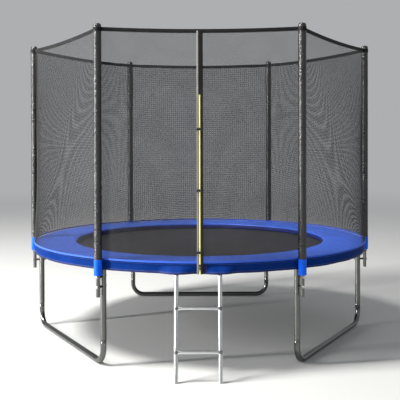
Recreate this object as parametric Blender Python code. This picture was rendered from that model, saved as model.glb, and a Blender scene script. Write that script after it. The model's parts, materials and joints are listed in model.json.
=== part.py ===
"""Eight-foot backyard trampoline with a six-pole safety enclosure and a hook-on ladder.

Metres, +Z up, standing on z = 0. The door and the ladder face -Y.
Everything hangs from the empty "trampoline", whose place centres the whole object over the origin.
Round sections are polygons with a flat facing outward, so that bolts seat on flats and the leg bars rest on a flat.
"""

from math import asin, atan2, cos, pi, radians, sin

import bmesh
import bpy
from mathutils import Matrix, Vector

# ---------------------------------------------------------------- driving dimensions
FIT = 0.0003                # gap kept between neighbouring solids

# top ring and legs
RING_RADIUS = 1.201         # centreline: 2.44 m (8 ft) over the tube
RING_Z = 0.6225             # height of the ring's centreline
TUBE_R = 0.019              # 38 mm galvanised tube
TUBE_WALL = 0.0015
SIDES = 12                  # sides of a round section
RING_SIDES = 8              # of the ring's tube and its leg stubs, which the pad and the legs hide
POLE_SIDES = 8              # of the poles and their sleeves
LEGS = 6
ARC_STEPS = 8               # straight steps in one ring segment
SWAGE_R = 0.0168            # narrowed end that plugs into the next tube
SWAGE_DEPTH = 0.046
STUB_LENGTH = 0.090         # leg stub welded under the ring, below the centreline
LEG_JOINT_Z = 0.164         # where the upright meets the U-shaped base
BASE_SWAGE = 0.055
BASE_BEND_R = 0.095         # centreline radius of the base's bends
BEND_STEPS = 3

# enclosure poles and their padded sleeves
POLE_RADIUS = 1.254         # pole axes, from the centre
POLE_R = 0.0125             # 25 mm tube
POLE_WALL = 0.0012
POLE_BOTTOM_Z = 0.438
POLE_TOP_Z = 2.096
SLEEVE_R = 0.025
SLEEVE_BORE_R = 0.0133
SLEEVE_BOTTOM_Z = 0.572
SLEEVE_TOP_Z = 2.117

# bolts that hold each pole to its leg, with a black spacer between
BOLT_HEIGHTS = (0.499, 0.5605)
BOLT_SHANK_R = 0.0040
BOLT_HOLE_R = 0.0045
BOLT_HEAD_R = 0.0070
BOLT_HEAD = 0.0055
NUT_R = 0.0075
NUT = 0.0070
SPACER_R = 0.0090
BOLT_SIDES = 6

# mat, springs, pad and skirt
MAT_R = 1.000
MAT_THICK = 0.003
SPRINGS = 48
SPRING_R = 0.0100
SPRING_START_R = 1.036      # where the coils start and end, from the centre
SPRING_END_R = 1.156
HOOK_R = 0.0022
EDGE_INNER_R, EDGE_OUTER_R, EDGE_THICK = 1.0012, 1.0090, 0.006
PAD_INNER_R = 0.925
PAD_OUTER_R = 1.2218
PAD_BOTTOM_Z, PAD_TOP_Z = 0.6465, 0.665
SKIRT_INNER_R, SKIRT_OUTER_R = 1.2224, 1.2244
SKIRT_BOTTOM_Z, SKIRT_TOP_Z = 0.604, 0.6635
SKIRT_BULGE = 0.034         # how far the skirt stands out over each ladder rail

# safety net
NET_THICK = 0.0025
NET_STRIPS = 8
NET_TOP_Z = 2.0925
NET_SAG = 0.014             # the top webbing sags this much midway between poles
NET_BOTTOM_Z = 0.6675
NET_BOTTOM_R = 1.2285
NET_END_GAP_TOP, NET_END_GAP_BOTTOM = 0.0283, 0.0234      # from a pole's axis to the panel's end, along the panel
ZIP_WIDTH = 0.027           # band of tape down the middle of the front panel
ZIP_PROUD = 0.003
ZIP_BOTTOM_Z = 0.604

# door furniture
SLIDER_Z = 0.655
BUCKLE_HEIGHTS = (0.731, 1.097, 1.465)
BUCKLE_NAMES = ("lower", "middle", "upper")
BUCKLE_HALF = 0.0175        # each half's length across the door
BUCKLE_HIGH = 0.0155
BUCKLE_BACK, BUCKLE_FRONT = 0.0105, 0.0175      # stand-off from the tape, back and front

# ladder
LADDER_X = -0.012
RAIL_HALF_SPACING = 0.1295
RAIL_R = 0.0125
RAIL_WALL = 0.0012
RAIL_FOOT_Y = -1.368
RAIL_TOP_Y, RAIL_TOP_Z = -1.2318, 0.608
RUNG_HEIGHTS = (0.168, 0.4110)
RUNG_NAMES = ("lower", "upper")
RUNG_R = 0.0095
HINGE_Y = -1.1925           # the ring's centreline at the hooks
HOOK_INNER_R, HOOK_OUTER_R = 0.0210, 0.0235
HOOK_WIDTH = 0.018

# the object's box is centred over the origin: ladder feet in front, net and pad edge behind
FRONT_REACH = -(RAIL_FOOT_Y - RAIL_R * cos(pi / SIDES))
BACK_REACH = NET_BOTTOM_R + NET_THICK / 2
FRAME_SHIFT_Y = (FRONT_REACH - BACK_REACH) / 2

STEP = 2 * pi / LEGS


# ---------------------------------------------------------------- helpers
for old in list(bpy.data.objects):
    bpy.data.objects.remove(old)


def material(name, colour, roughness, metallic=0.0):
    mat = bpy.data.materials.new(name)
    mat.use_nodes = True
    bsdf = mat.node_tree.nodes["Principled BSDF"]
    bsdf.inputs["Base Color"].default_value = (*colour, 1)
    bsdf.inputs["Roughness"].default_value = roughness
    bsdf.inputs["Metallic"].default_value = metallic
    mat.diffuse_color = (*colour, 1)
    return mat


GALVANISED = material("galvanised_tube", (0.52, 0.54, 0.56), 0.38, 1.0)
ZINC = material("zinc_fastener", (0.60, 0.61, 0.60), 0.32, 1.0)
SPRING_WIRE = material("spring_wire", (0.55, 0.56, 0.58), 0.30, 1.0)
SLEEVE_CLOTH = material("black_sleeve", (0.025, 0.024, 0.028), 0.55)
MAT_CLOTH = material("mat_weave", (0.045, 0.045, 0.050), 0.70)
PAD_VINYL = material("pad_blue", (0.070, 0.150, 0.560), 0.42)
SKIRT_VINYL = material("skirt_blue", (0.025, 0.060, 0.360), 0.42)
NET_CLOTH = material("net_black", (0.020, 0.020, 0.022), 0.80)
BLACK_PLASTIC = material("black_plastic", (0.018, 0.018, 0.020), 0.40)
SLIDER_METAL = material("zip_slider_metal", (0.10, 0.10, 0.10), 0.45, 0.6)


def add(name, mesh, mat, location=(0, 0, 0), rotation=(0, 0, 0), parent=None):
    """An object with this mesh, placed under its parent."""
    obj = bpy.data.objects.new(name, mesh)
    bpy.context.scene.collection.objects.link(obj)
    if not mesh.materials:
        mesh.materials.append(mat)
    obj.parent = parent or TRAMPOLINE
    obj.location = location
    obj.rotation_euler = rotation
    return obj


def empty(name, location, rotation=(0, 0, 0), parent=None):
    obj = bpy.data.objects.new(name, None)
    bpy.context.scene.collection.objects.link(obj)
    obj.empty_display_size = 0.05
    obj.location = location
    obj.rotation_euler = rotation
    obj.parent = parent
    return obj


def finished(bm, name, smooth=True):
    """The mesh of bm with its faces pointing out; round pieces are smooth, with sharp edges kept."""
    bmesh.ops.recalc_face_normals(bm, faces=bm.faces)
    mesh = bpy.data.meshes.new(name)
    bm.to_mesh(mesh)
    bm.free()
    if smooth:
        mesh.shade_smooth()
        mesh.set_sharp_from_angle(angle=radians(40))
    return mesh


def section(centre, u, v, ru, rv=None, sides=SIDES):
    """Points of a polygon around centre, with a flat square to u: ru is the corner radius along u and rv along v."""
    rv = ru if rv is None else rv
    half = pi / sides
    angles = [half + 2 * half * k for k in range(sides)]
    return [centre + u * (ru * cos(a)) + v * (rv * sin(a)) for a in angles]


def rectangle(centre, u, v, half_u, half_v):
    return [centre + u * (half_u * a) + v * (half_v * b) for a, b in ((1, 1), (-1, 1), (-1, -1), (1, -1))]


def loft(rings, name="loft", ring_closed=False, smooth=True, diagonals=None):
    """Skins a row of equal rings. With ring_closed the last ring joins the first, which makes a hollow tube; otherwise both ends are capped.
    diagonals says for each side of the ring how its twisted faces are split: 1 from this ring's first point, -1 from its second, 0 not at all."""
    bm = bmesh.new()
    rows = [[bm.verts.new(p) for p in ring] for ring in rings]
    n = len(rows[0])
    pairs = list(zip(rows, rows[1:]))
    if ring_closed:
        pairs.append((rows[-1], rows[0]))
    for a, b in pairs:
        for i in range(n):
            j = (i + 1) % n
            split = diagonals[i] if diagonals else 0
            if split == 1:
                bm.faces.new((a[i], a[j], b[j]))
                bm.faces.new((a[i], b[j], b[i]))
            elif split == -1:
                bm.faces.new((a[i], a[j], b[i]))
                bm.faces.new((a[j], b[j], b[i]))
            else:
                bm.faces.new((a[i], a[j], b[j], b[i]))
    if not ring_closed:
        bm.faces.new(rows[0])
        bm.faces.new(rows[-1])
    return finished(bm, name, smooth)


def turned(profile, sides, name="turned", closed=True, axis=Vector((0, 0, 1)), smooth=True):
    """Spins a profile of (radius, height) points about the axis. A closed profile makes a pipe or a ring; an open one starts and ends on the axis."""
    bm = bmesh.new()
    side = Vector((1, 0, 0)) if abs(axis.x) < 0.9 else Vector((0, 1, 0))
    start = Matrix.Rotation(pi / sides, 3, axis)
    points = [bm.verts.new(start @ (side * r + axis * h)) for r, h in profile]
    edges = [bm.edges.new((points[i], points[i + 1])) for i in range(len(points) - 1)]
    if closed:
        edges.append(bm.edges.new((points[-1], points[0])))
    bmesh.ops.spin(bm, geom=points + edges, cent=(0, 0, 0), axis=axis, angle=2 * pi, steps=sides, use_merge=True)
    bmesh.ops.remove_doubles(bm, verts=bm.verts, dist=1e-6)
    return finished(bm, name, smooth)


def block(low, high, name="block"):
    """A box between two corners."""
    bm = bmesh.new()
    bmesh.ops.create_cube(bm, size=1)
    low, high = Vector(low), Vector(high)
    for vert in bm.verts:
        vert.co = Vector((low[i] if vert.co[i] < 0 else high[i] for i in range(3)))
    return finished(bm, name, smooth=False)


def moved(mesh, matrix):
    copy = mesh.copy()
    copy.transform(matrix)
    return copy


def combined(mesh, tools, operation, name, smooth=True):
    """The mesh after an exact Boolean with each tool mesh in turn."""
    for tool in tools:
        base = bpy.data.objects.new("base", mesh)
        cutter = bpy.data.objects.new("cutter", tool)
        for obj in (base, cutter):
            bpy.context.scene.collection.objects.link(obj)
        cutter.hide_render = True
        cutter.display_type = "WIRE"
        step = base.modifiers.new("boolean", "BOOLEAN")
        step.operation = operation
        step.solver = "EXACT"
        step.object = cutter
        graph = bpy.context.evaluated_depsgraph_get()
        mesh = bpy.data.meshes.new_from_object(base.evaluated_get(graph))
        for obj in (base, cutter):
            bpy.data.objects.remove(obj)
    mesh.name = name
    mesh.materials.clear()
    if smooth:
        mesh.shade_smooth()
        mesh.set_sharp_from_angle(angle=radians(40))
    return mesh


def joined(meshes):
    """Several closed meshes that don't touch, as one tool for a Boolean."""
    bm = bmesh.new()
    for mesh in meshes:
        bm.from_mesh(mesh)
    out = bpy.data.meshes.new("tools")
    bm.to_mesh(out)
    bm.free()
    return out


def polar(radius, angle, z=0.0):
    return Vector((radius * cos(angle), radius * sin(angle), z))


X, Y, Z = Vector((1, 0, 0)), Vector((0, 1, 0)), Vector((0, 0, 1))
TRAMPOLINE = empty("trampoline", (0, FRAME_SHIFT_Y, 0))
FLAT = cos(pi / SIDES)      # from a corner radius to a flat's distance
LEG_NAMES = ("right", "back_right", "back_left", "left", "front_left", "front_right")
LEG_ANGLES = [k * STEP for k in range(LEGS)]


# ---------------------------------------------------------------- top ring
def bolt_holes(mesh, name, origin=Vector((0, 0, 0))):
    """Cuts both bolt holes through a tube along its X axis. The origin is the leg's axis on the ground, in the mesh's own frame."""
    tools = []
    for height in BOLT_HEIGHTS:
        hole = turned([(0, -0.03), (BOLT_HOLE_R, -0.03), (BOLT_HOLE_R, 0.03), (0, 0.03)], BOLT_SIDES, closed=False, axis=X)
        hole.transform(Matrix.Translation(origin + Z * height))
        tools.append(hole)
    return combined(mesh, [joined(tools)], "DIFFERENCE", name)


def ring_segment():
    """One sixth of the ring, centred on its leg at angle 0: a bent tube open at one end and swaged at the other, with the leg stub welded below.
    The upper pole bolt passes through the stub, so that it also locks the leg."""
    half = STEP / 2
    end = half - FIT / 2 / RING_RADIUS
    grid = [-end] + [-half + (k + 1) * STEP / ARC_STEPS for k in range(ARC_STEPS - 1)] + [end]

    def at(angle, r):
        return section(polar(RING_RADIUS, angle), polar(1, angle), Z, r, sides=RING_SIDES)

    # the swaged end follows the next segment's first straight step
    first, second = polar(RING_RADIUS, half), polar(RING_RADIUS, half + STEP / ARC_STEPS)
    along = (second - first).normalized()
    tip = first + along * SWAGE_DEPTH
    out = Vector((along.y, -along.x, 0))
    bore = TUBE_R - TUBE_WALL
    swage_bore = SWAGE_R - TUBE_WALL
    rings = [at(a, TUBE_R) for a in grid]
    rings += [at(end, SWAGE_R), section(tip, out, Z, SWAGE_R, sides=RING_SIDES)]
    rings += [section(tip, out, Z, swage_bore, sides=RING_SIDES), at(end, swage_bore)]
    rings += [at(a, bore) for a in reversed(grid[:-1])]
    tube = loft(rings, ring_closed=True)
    top, low = -0.0080, -STUB_LENGTH
    stub = turned([(SWAGE_R, low), (SWAGE_R, top), (swage_bore, top), (swage_bore, low)], RING_SIDES)
    stub.transform(Matrix.Translation((RING_RADIUS, 0, 0)))
    whole = combined(tube, [stub], "UNION", "ring_segment")
    return bolt_holes(whole, "ring_segment", Vector((RING_RADIUS, 0, -RING_Z)))


segment = ring_segment()
for name, angle in zip(LEG_NAMES, LEG_ANGLES):
    add(f"ring_segment_{name}", segment, GALVANISED, (0, 0, RING_Z), (0, 0, angle))


# ---------------------------------------------------------------- legs
def pipe(radius, wall, sides, low, high):
    inner = radius - wall
    return turned([(radius, low), (radius, high), (inner, high), (inner, low)], sides)


upright = bolt_holes(pipe(TUBE_R, TUBE_WALL, SIDES, LEG_JOINT_Z, RING_Z - TUBE_R * cos(pi / RING_SIDES) - 2 * FIT), "leg_upright")
for name, angle in zip(LEG_NAMES, LEG_ANGLES):
    add(f"leg_upright_{name}", upright, GALVANISED, polar(RING_RADIUS, angle), (0, 0, angle))


def leg_base():
    """A U of tube in the XZ plane that joins two legs: swaged ends up, a straight bar on the ground. The origin is midway on the ground."""
    half = RING_RADIUS * sin(STEP / 2)
    axis_z = TUBE_R * FLAT
    centre_x, centre_z = half - BASE_BEND_R, axis_z + BASE_BEND_R
    shoulder = LEG_JOINT_Z - FIT

    def at(point, tangent, r):
        normal = Vector((-tangent.z, 0, tangent.x))
        return section(point, normal, Y, r)

    def side(sign):
        """Stations from the swaged tip down and round to the bar, on one side: (point, tangent) pairs."""
        rows = [(Vector((sign * half, 0, LEG_JOINT_Z + BASE_SWAGE)), -Z), (Vector((sign * half, 0, shoulder)), -Z)]
        for k in range(BEND_STEPS + 1):
            a = k * (pi / 2) / BEND_STEPS
            point = Vector((sign * (centre_x + BASE_BEND_R * cos(a)), 0, centre_z - BASE_BEND_R * sin(a)))
            rows.append((point, Vector((-sign * sin(a), 0, -cos(a)))))
        return rows

    left, right = side(-1), side(1)
    tip, neck, bend = left[0], left[1], left[2:]
    # the way along the whole U, from the left tip to the right tip
    back = [(p, -t) for p, t in reversed(right)]
    bore, swage_bore = TUBE_R - TUBE_WALL, SWAGE_R - TUBE_WALL
    outer = [at(*tip, SWAGE_R), at(*neck, SWAGE_R), at(*neck, TUBE_R)] + [at(*s, TUBE_R) for s in bend]
    outer += [at(*s, TUBE_R) for s in back[:-2]] + [at(*back[-2], TUBE_R), at(*back[-2], SWAGE_R), at(*back[-1], SWAGE_R)]
    inner = [at(*tip, swage_bore), at(*neck, swage_bore)] + [at(*s, bore) for s in bend]
    inner += [at(*s, bore) for s in back[:-2]] + [at(*back[-2], swage_bore), at(*back[-1], swage_bore)]
    return loft(outer + inner[::-1], "leg_base", ring_closed=True)


base = leg_base()
for name, between in (("left", 210), ("right", 330), ("back", 90)):
    angle = radians(between)
    add(f"leg_base_{name}", base, GALVANISED, polar(RING_RADIUS * cos(STEP / 2), angle), (0, 0, angle + pi / 2))


# ---------------------------------------------------------------- enclosure poles
pole = bolt_holes(pipe(POLE_R, POLE_WALL, POLE_SIDES, POLE_BOTTOM_Z, POLE_TOP_Z), "enclosure_pole")
sleeve = turned(
    [
        (0, SLEEVE_TOP_Z),
        (0.014, SLEEVE_TOP_Z - 0.0020),
        (0.0215, SLEEVE_TOP_Z - 0.0085),
        (SLEEVE_R, SLEEVE_TOP_Z - 0.0200),
        (SLEEVE_R, SLEEVE_BOTTOM_Z),
        (SLEEVE_BORE_R, SLEEVE_BOTTOM_Z),
        (SLEEVE_BORE_R, POLE_TOP_Z + 2 * FIT),
        (0, POLE_TOP_Z + 2 * FIT),
    ],
    POLE_SIDES,
    "pole_sleeve",
    closed=False,
)
for name, angle in zip(LEG_NAMES, LEG_ANGLES):
    add(f"enclosure_pole_{name}", pole, GALVANISED, polar(POLE_RADIUS, angle), (0, 0, angle))
    add(f"pole_sleeve_{name}", sleeve, SLEEVE_CLOTH, polar(POLE_RADIUS, angle), (0, 0, angle))


def pole_bolt():
    """Nut inside the leg, shank, spacer between leg and pole, and head outside the pole, along +X from the leg's axis."""
    leg_flat = TUBE_R * FLAT
    pole_axis = POLE_RADIUS - RING_RADIUS
    pole_flat = POLE_R * cos(pi / POLE_SIDES)
    stations = [
        (0, -leg_flat - FIT - NUT),
        (NUT_R, -leg_flat - FIT - NUT),
        (NUT_R, -leg_flat - FIT),
        (BOLT_SHANK_R, -leg_flat - FIT),
        (BOLT_SHANK_R, leg_flat + FIT),
        (SPACER_R, leg_flat + FIT),
        (SPACER_R, pole_axis - pole_flat - FIT),
        (BOLT_SHANK_R, pole_axis - pole_flat - FIT),
        (BOLT_SHANK_R, pole_axis + pole_flat + FIT),
        (BOLT_HEAD_R, pole_axis + pole_flat + FIT),
        (BOLT_HEAD_R, pole_axis + pole_flat + FIT + BOLT_HEAD),
        (0, pole_axis + pole_flat + FIT + BOLT_HEAD),
    ]
    return turned(stations, BOLT_SIDES, "pole_bolt", closed=False, axis=X)


bolt = pole_bolt()
for name, angle in zip(LEG_NAMES, LEG_ANGLES):
    for place, height in zip(("lower", "upper"), BOLT_HEIGHTS):
        add(f"pole_bolt_{name}_{place}", bolt, ZINC, polar(RING_RADIUS, angle, height), (0, 0, angle))


# ---------------------------------------------------------------- mat and springs
def disc(radius, low, high, sides, name):
    return loft([[polar(radius, 2 * pi * k / sides, z) for k in range(sides)] for z in (low, high)], name)


def annulus(inner, outer, low, high, sides, name):
    rows = [(outer, low), (outer, high), (inner, high), (inner, low)]
    return loft([[polar(r, 2 * pi * k / sides, z) for k in range(sides)] for r, z in rows], name, ring_closed=True)


# The mat's origin lies on the line that it moves along.
add("jump_mat", disc(MAT_R, -MAT_THICK / 2, MAT_THICK / 2, SPRINGS, "jump_mat"), MAT_CLOTH, (0, 0, RING_Z))


def spring_set():
    """The linked V-rings round the mat's edge, with the coil springs that reach to the ring, as plain rods of the coils' outer diameter."""
    edge = annulus(EDGE_INNER_R, EDGE_OUTER_R, -EDGE_THICK / 2, EDGE_THICK / 2, SPRINGS, "edge")
    # a spring lies square to the middle of each straight step of the ring
    reach = (RING_RADIUS - TUBE_R * cos(pi / RING_SIDES)) * cos(pi / SPRINGS) - 2 * FIT
    start = EDGE_INNER_R * cos(pi / SPRINGS) + 0.003
    stations = [(start, HOOK_R), (SPRING_START_R, SPRING_R), (SPRING_END_R, SPRING_R), (reach, HOOK_R)]
    rods = []
    for k in range(SPRINGS):
        angle = 2 * pi * (k + 0.5) / SPRINGS
        rings = [section(polar(r, angle), Vector((-sin(angle), cos(angle), 0)), Z, size, sides=5) for r, size in stations]
        rods.append(loft(rings))
    return combined(edge, [joined(rods)], "UNION", "spring_set")


add("spring_set", spring_set(), SPRING_WIRE, (0, 0, RING_Z))


# ---------------------------------------------------------------- pad and skirt
add("spring_pad", annulus(PAD_INNER_R, PAD_OUTER_R, PAD_BOTTOM_Z, PAD_TOP_Z, SPRINGS, "spring_pad"), PAD_VINYL)


def skirt():
    """The valance that hangs from the pad's rim and hides the ring. It stands out over the tops of the ladder's rails."""
    centres = [-pi / 2 + asin((LADDER_X + s * RAIL_HALF_SPACING) / SKIRT_OUTER_R) for s in (-1, 1)]
    angles = {round(2 * pi * k / SPRINGS, 9) for k in range(SPRINGS)}
    spread = [radians(a) for a in (0.95, 1.8, 2.8)]
    for centre in centres:
        angles |= {round((centre + s * a) % (2 * pi), 9) for a in spread for s in (-1, 1)}
    angles = sorted(angles)

    def bulge(angle):
        near = min(abs((angle - c + pi) % (2 * pi) - pi) for c in centres)
        if near <= spread[0] + 1e-6:
            return 1.0
        if near >= spread[2] - 1e-6:
            return 0.0
        t = (spread[2] - near) / (spread[2] - spread[0])
        return t * t * (3 - 2 * t)

    def row(radius, z, share):
        return [polar(radius + SKIRT_BULGE * share * bulge(a), a, z) for a in angles]

    heights = [(SKIRT_BOTTOM_Z, 1.0), (0.616, 0.88), (0.633, 0.50), (0.649, 0.12), (SKIRT_TOP_Z, 0.0)]
    rows = [row(SKIRT_OUTER_R, z, s) for z, s in heights] + [row(SKIRT_INNER_R, z, s) for z, s in reversed(heights)]
    return loft(rows, "pad_skirt", ring_closed=True)


add("pad_skirt", skirt(), SKIRT_VINYL)


# ---------------------------------------------------------------- safety net
PANEL_TOP_R = POLE_RADIUS * cos(STEP / 2)       # the top webbing runs straight from pole to pole
ZIP_TOP = Vector((PANEL_TOP_R, 0, NET_TOP_Z - NET_SAG))
ZIP_LINE = (ZIP_TOP - Vector((NET_BOTTOM_R, 0, NET_BOTTOM_Z))).normalized()


def net_panel():
    """One panel with its outward side towards +X: a straight top edge between two poles, flaring to the pad's round rim at the bottom."""
    top_half = POLE_RADIUS * sin(STEP / 2) - NET_END_GAP_TOP
    bottom_half = STEP / 2 - NET_END_GAP_BOTTOM / NET_BOTTOM_R
    rings = []
    for k in range(NET_STRIPS + 1):
        s = 2 * k / NET_STRIPS - 1
        top = Vector((PANEL_TOP_R, s * top_half, NET_TOP_Z - NET_SAG * (1 - s * s)))
        low = polar(NET_BOTTOM_R, s * bottom_half, NET_BOTTOM_Z)
        t = NET_THICK / 2
        out = polar(1, s * bottom_half)
        middle = (low + top) / 2
        mid_out = (out + X).normalized()
        rings.append([low + out * t, middle + mid_out * t, top + X * t, top - X * t, middle - mid_out * t, low - out * t])
    # both faces are split along the same lines, so that the sheet keeps its thickness
    return loft(rings, "net_panel", diagonals=(1, 1, 0, -1, -1, 0))


def zip_band():
    """The band of zip tape and webbing down the middle of the front panel, to below the pad's rim."""
    rings = []
    for z in (ZIP_BOTTOM_Z, ZIP_TOP.z - 0.0015):
        centre = ZIP_TOP + ZIP_LINE * ((z - ZIP_TOP.z) / ZIP_LINE.z)
        half = ZIP_WIDTH / 2
        back, front = centre - X * (NET_THICK / 2 - FIT / 2), centre + X * ZIP_PROUD
        rings.append([back - Y * half, front - Y * half, front + Y * half, back + Y * half])
    return loft(rings)


panel = net_panel()
front_panel = combined(panel.copy(), [zip_band()], "UNION", "net_panel_front")
PANEL_NAMES = ("back_right", "back", "back_left", "front_left", "front", "front_right")
for k, name in enumerate(PANEL_NAMES):
    angle = (k + 0.5) * STEP
    add(f"net_panel_{name}", front_panel if name == "front" else panel, NET_CLOTH, (0, 0, 0), (0, 0, angle))


# ---------------------------------------------------------------- zip slider and buckles
# "door_line" lies on the front face of the zip band at z = SLIDER_Z: +Z runs up the zip, -Y points out of the door.
LEAN = atan2(-ZIP_LINE.x, ZIP_LINE.z)


def door_point(z):
    """The point of the band's front face at height z, before the shift of the whole object."""
    p = ZIP_TOP + ZIP_LINE * ((z - ZIP_TOP.z) / ZIP_LINE.z)
    return Vector((0, -(p.x + ZIP_PROUD), z))


DOOR = empty("door_line", door_point(SLIDER_Z), (-LEAN, 0, 0), TRAMPOLINE)
body = block((-0.0055, -0.0054, -0.0070), (0.0055, -FIT, 0.0070))
tab = block((-0.0040, -0.0072, -0.0360), (0.0040, -0.0050, 0.0045))
add("zip_slider", combined(body, [tab], "UNION", "zip_slider", smooth=False), SLIDER_METAL, parent=DOOR)

HALF_HIGH = BUCKLE_HIGH / 2
TAB_BACK = ZIP_PROUD - NET_THICK / 2 - 0.0009      # a strap tab stops just in front of the net, beside the band
socket_box = block((-BUCKLE_HALF, -BUCKLE_FRONT, -HALF_HIGH), (0.0010, -BUCKLE_BACK, HALF_HIGH))
socket_tab = block((-BUCKLE_HALF - 0.0010, -BUCKLE_BACK - 0.003, -HALF_HIGH + 0.001), (-0.0140, TAB_BACK, HALF_HIGH - 0.001))
cavity = block((-0.0120, -0.0158, -0.0058), (0.0200, -0.0122, 0.0058))
socket = combined(combined(socket_box, [socket_tab], "UNION", "s"), [cavity], "DIFFERENCE", "buckle_socket", smooth=False)
clip_box = block((0.0013, -BUCKLE_FRONT, -HALF_HIGH), (BUCKLE_HALF, -BUCKLE_BACK, HALF_HIGH))
clip_tab = block((0.0140, -BUCKLE_BACK - 0.003, -HALF_HIGH + 0.001), (BUCKLE_HALF + 0.0010, TAB_BACK, HALF_HIGH - 0.001))
prongs = [block((-0.0105, -0.0154, s * 0.0037 - 0.0014), (0.0060, -0.0126, s * 0.0037 + 0.0014)) for s in (-1, 1)]
clip = combined(clip_box, [clip_tab, *prongs], "UNION", "buckle_clip", smooth=False)
for name, height in zip(BUCKLE_NAMES, BUCKLE_HEIGHTS):
    up = (height - SLIDER_Z) / cos(LEAN)
    add(f"buckle_socket_{name}", socket, BLACK_PLASTIC, (0, 0, up), parent=DOOR)
    add(f"buckle_clip_{name}", clip, BLACK_PLASTIC, (0, 0, up), parent=DOOR)


# ---------------------------------------------------------------- ladder
# "ladder_hinge" lies on the ring's centreline between the hooks; the ladder tips outward about its X axis.
HINGE = empty("ladder_hinge", (LADDER_X, HINGE_Y, RING_Z), parent=TRAMPOLINE)
RAIL_SLOPE = (RAIL_TOP_Y - RAIL_FOOT_Y) / RAIL_TOP_Z
RAIL_LEAN = atan2(RAIL_SLOPE, 1)


def rail_y(z):
    return RAIL_FOOT_Y + RAIL_SLOPE * z


def rail():
    """A leaning tube cut level at the foot, whose top carries the strap that hooks over the ring. The origin is on the hinge."""
    bore = RAIL_R - RAIL_WALL
    rows = [(RAIL_R, 0.0), (RAIL_R, RAIL_TOP_Z), (bore, RAIL_TOP_Z), (bore, 0.0)]
    tube = loft([section(Vector((0, rail_y(z) - HINGE_Y, z - RING_Z)), Y, X, r) for r, z in rows], ring_closed=True)
    middle, half_thick = (HOOK_INNER_R + HOOK_OUTER_R) / 2, (HOOK_OUTER_R - HOOK_INNER_R) / 2
    foot = Vector((0, -0.0345, -0.0400))
    start = Vector((0, -middle, -0.0015))
    along = (start - foot).normalized()
    out = Vector((0, -along.z, along.y))
    rings = [rectangle(foot, out, X, half_thick, HOOK_WIDTH / 2)]
    for a in (180, 150, 120, 90, 60, 30, 0, -25):
        d = Vector((0, cos(radians(a)), sin(radians(a))))
        rings.append(rectangle(d * middle, d, X, half_thick, HOOK_WIDTH / 2))
    hook = loft(rings)
    shape = combined(tube, [hook], "UNION", "rail")
    holes = []
    for height in RUNG_HEIGHTS:
        hole = turned([(0, -0.03), (0.0040, -0.03), (0.0040, 0.03), (0, 0.03)], BOLT_SIDES, closed=False, axis=Y)
        place = Vector((0, rail_y(height) - HINGE_Y, height - RING_Z))
        hole.transform(Matrix.Translation(place) @ Matrix.Rotation(-RAIL_LEAN, 4, "X"))
        holes.append(hole)
    return combined(shape, [joined(holes)], "DIFFERENCE", "ladder_rail")


rail_mesh = rail()
for name, s in (("left", -1), ("right", 1)):
    add(f"ladder_rail_{name}", rail_mesh, GALVANISED, (s * RAIL_HALF_SPACING, 0, 0), parent=HINGE)


def rung():
    """A tube whose flattened ends lie on the front of the rails, with its two capped bolts. The origin is midway between the rails' axes."""
    plate_back = RAIL_R * FLAT * cos(RAIL_LEAN) + 0.0004
    plate_half = 0.0022
    y = -(plate_back + plate_half)
    k = 1 / cos(pi / 10)        # the plates are measured over their flats
    stations = [(0.1430, plate_half * k, 0.0115), (0.1180, plate_half * k, 0.0115), (0.0960, RUNG_R, RUNG_R)]
    stations = [(-x, t, h) for x, t, h in stations] + [(x, t, h) for x, t, h in reversed(stations)]
    bar = loft([section(Vector((x, y, 0)), Y, Z, t, h, sides=10) for x, t, h in stations])
    nut_face = RAIL_R * FLAT * cos(RAIL_LEAN) + 0.0006
    profile = [
        (0, y - plate_half - 0.0042),
        (0.0090, y - plate_half - 0.0030),
        (0.0090, y - plate_half + 0.0010),
        (0.0035, y - plate_half + 0.0010),
        (0.0035, nut_face),
        (0.0065, nut_face),
        (0.0065, nut_face + 0.0050),
        (0, nut_face + 0.0050),
    ]
    bolts = []
    for s in (-1, 1):
        one = turned(profile, BOLT_SIDES, closed=False, axis=Y)
        one.transform(Matrix.Translation((s * RAIL_HALF_SPACING, 0, 0)))
        bolts.append(one)
    return combined(bar, [joined(bolts)], "UNION", "ladder_rung")


rung_mesh = rung()
for name, height in zip(RUNG_NAMES, RUNG_HEIGHTS):
    add(f"ladder_rung_{name}", rung_mesh, GALVANISED, (0, rail_y(height) - HINGE_Y, height - RING_Z), (-RAIL_LEAN, 0, 0), parent=HINGE)

for mesh in list(bpy.data.meshes):
    if not mesh.users:
        bpy.data.meshes.remove(mesh)
bpy.context.view_layer.update()
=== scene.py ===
"""Looks of the backyard trampoline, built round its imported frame.

Pieces are written in the ring's frame (the ring's centre at x = y = 0) and moved by SHIFT into the frame's own place.
"""
import json
from math import asin, atan2, ceil, cos, degrees, exp, hypot, pi, radians, sin, sqrt

import bmesh
import bpy
import numpy as np
from mathutils import Matrix, Vector

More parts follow.
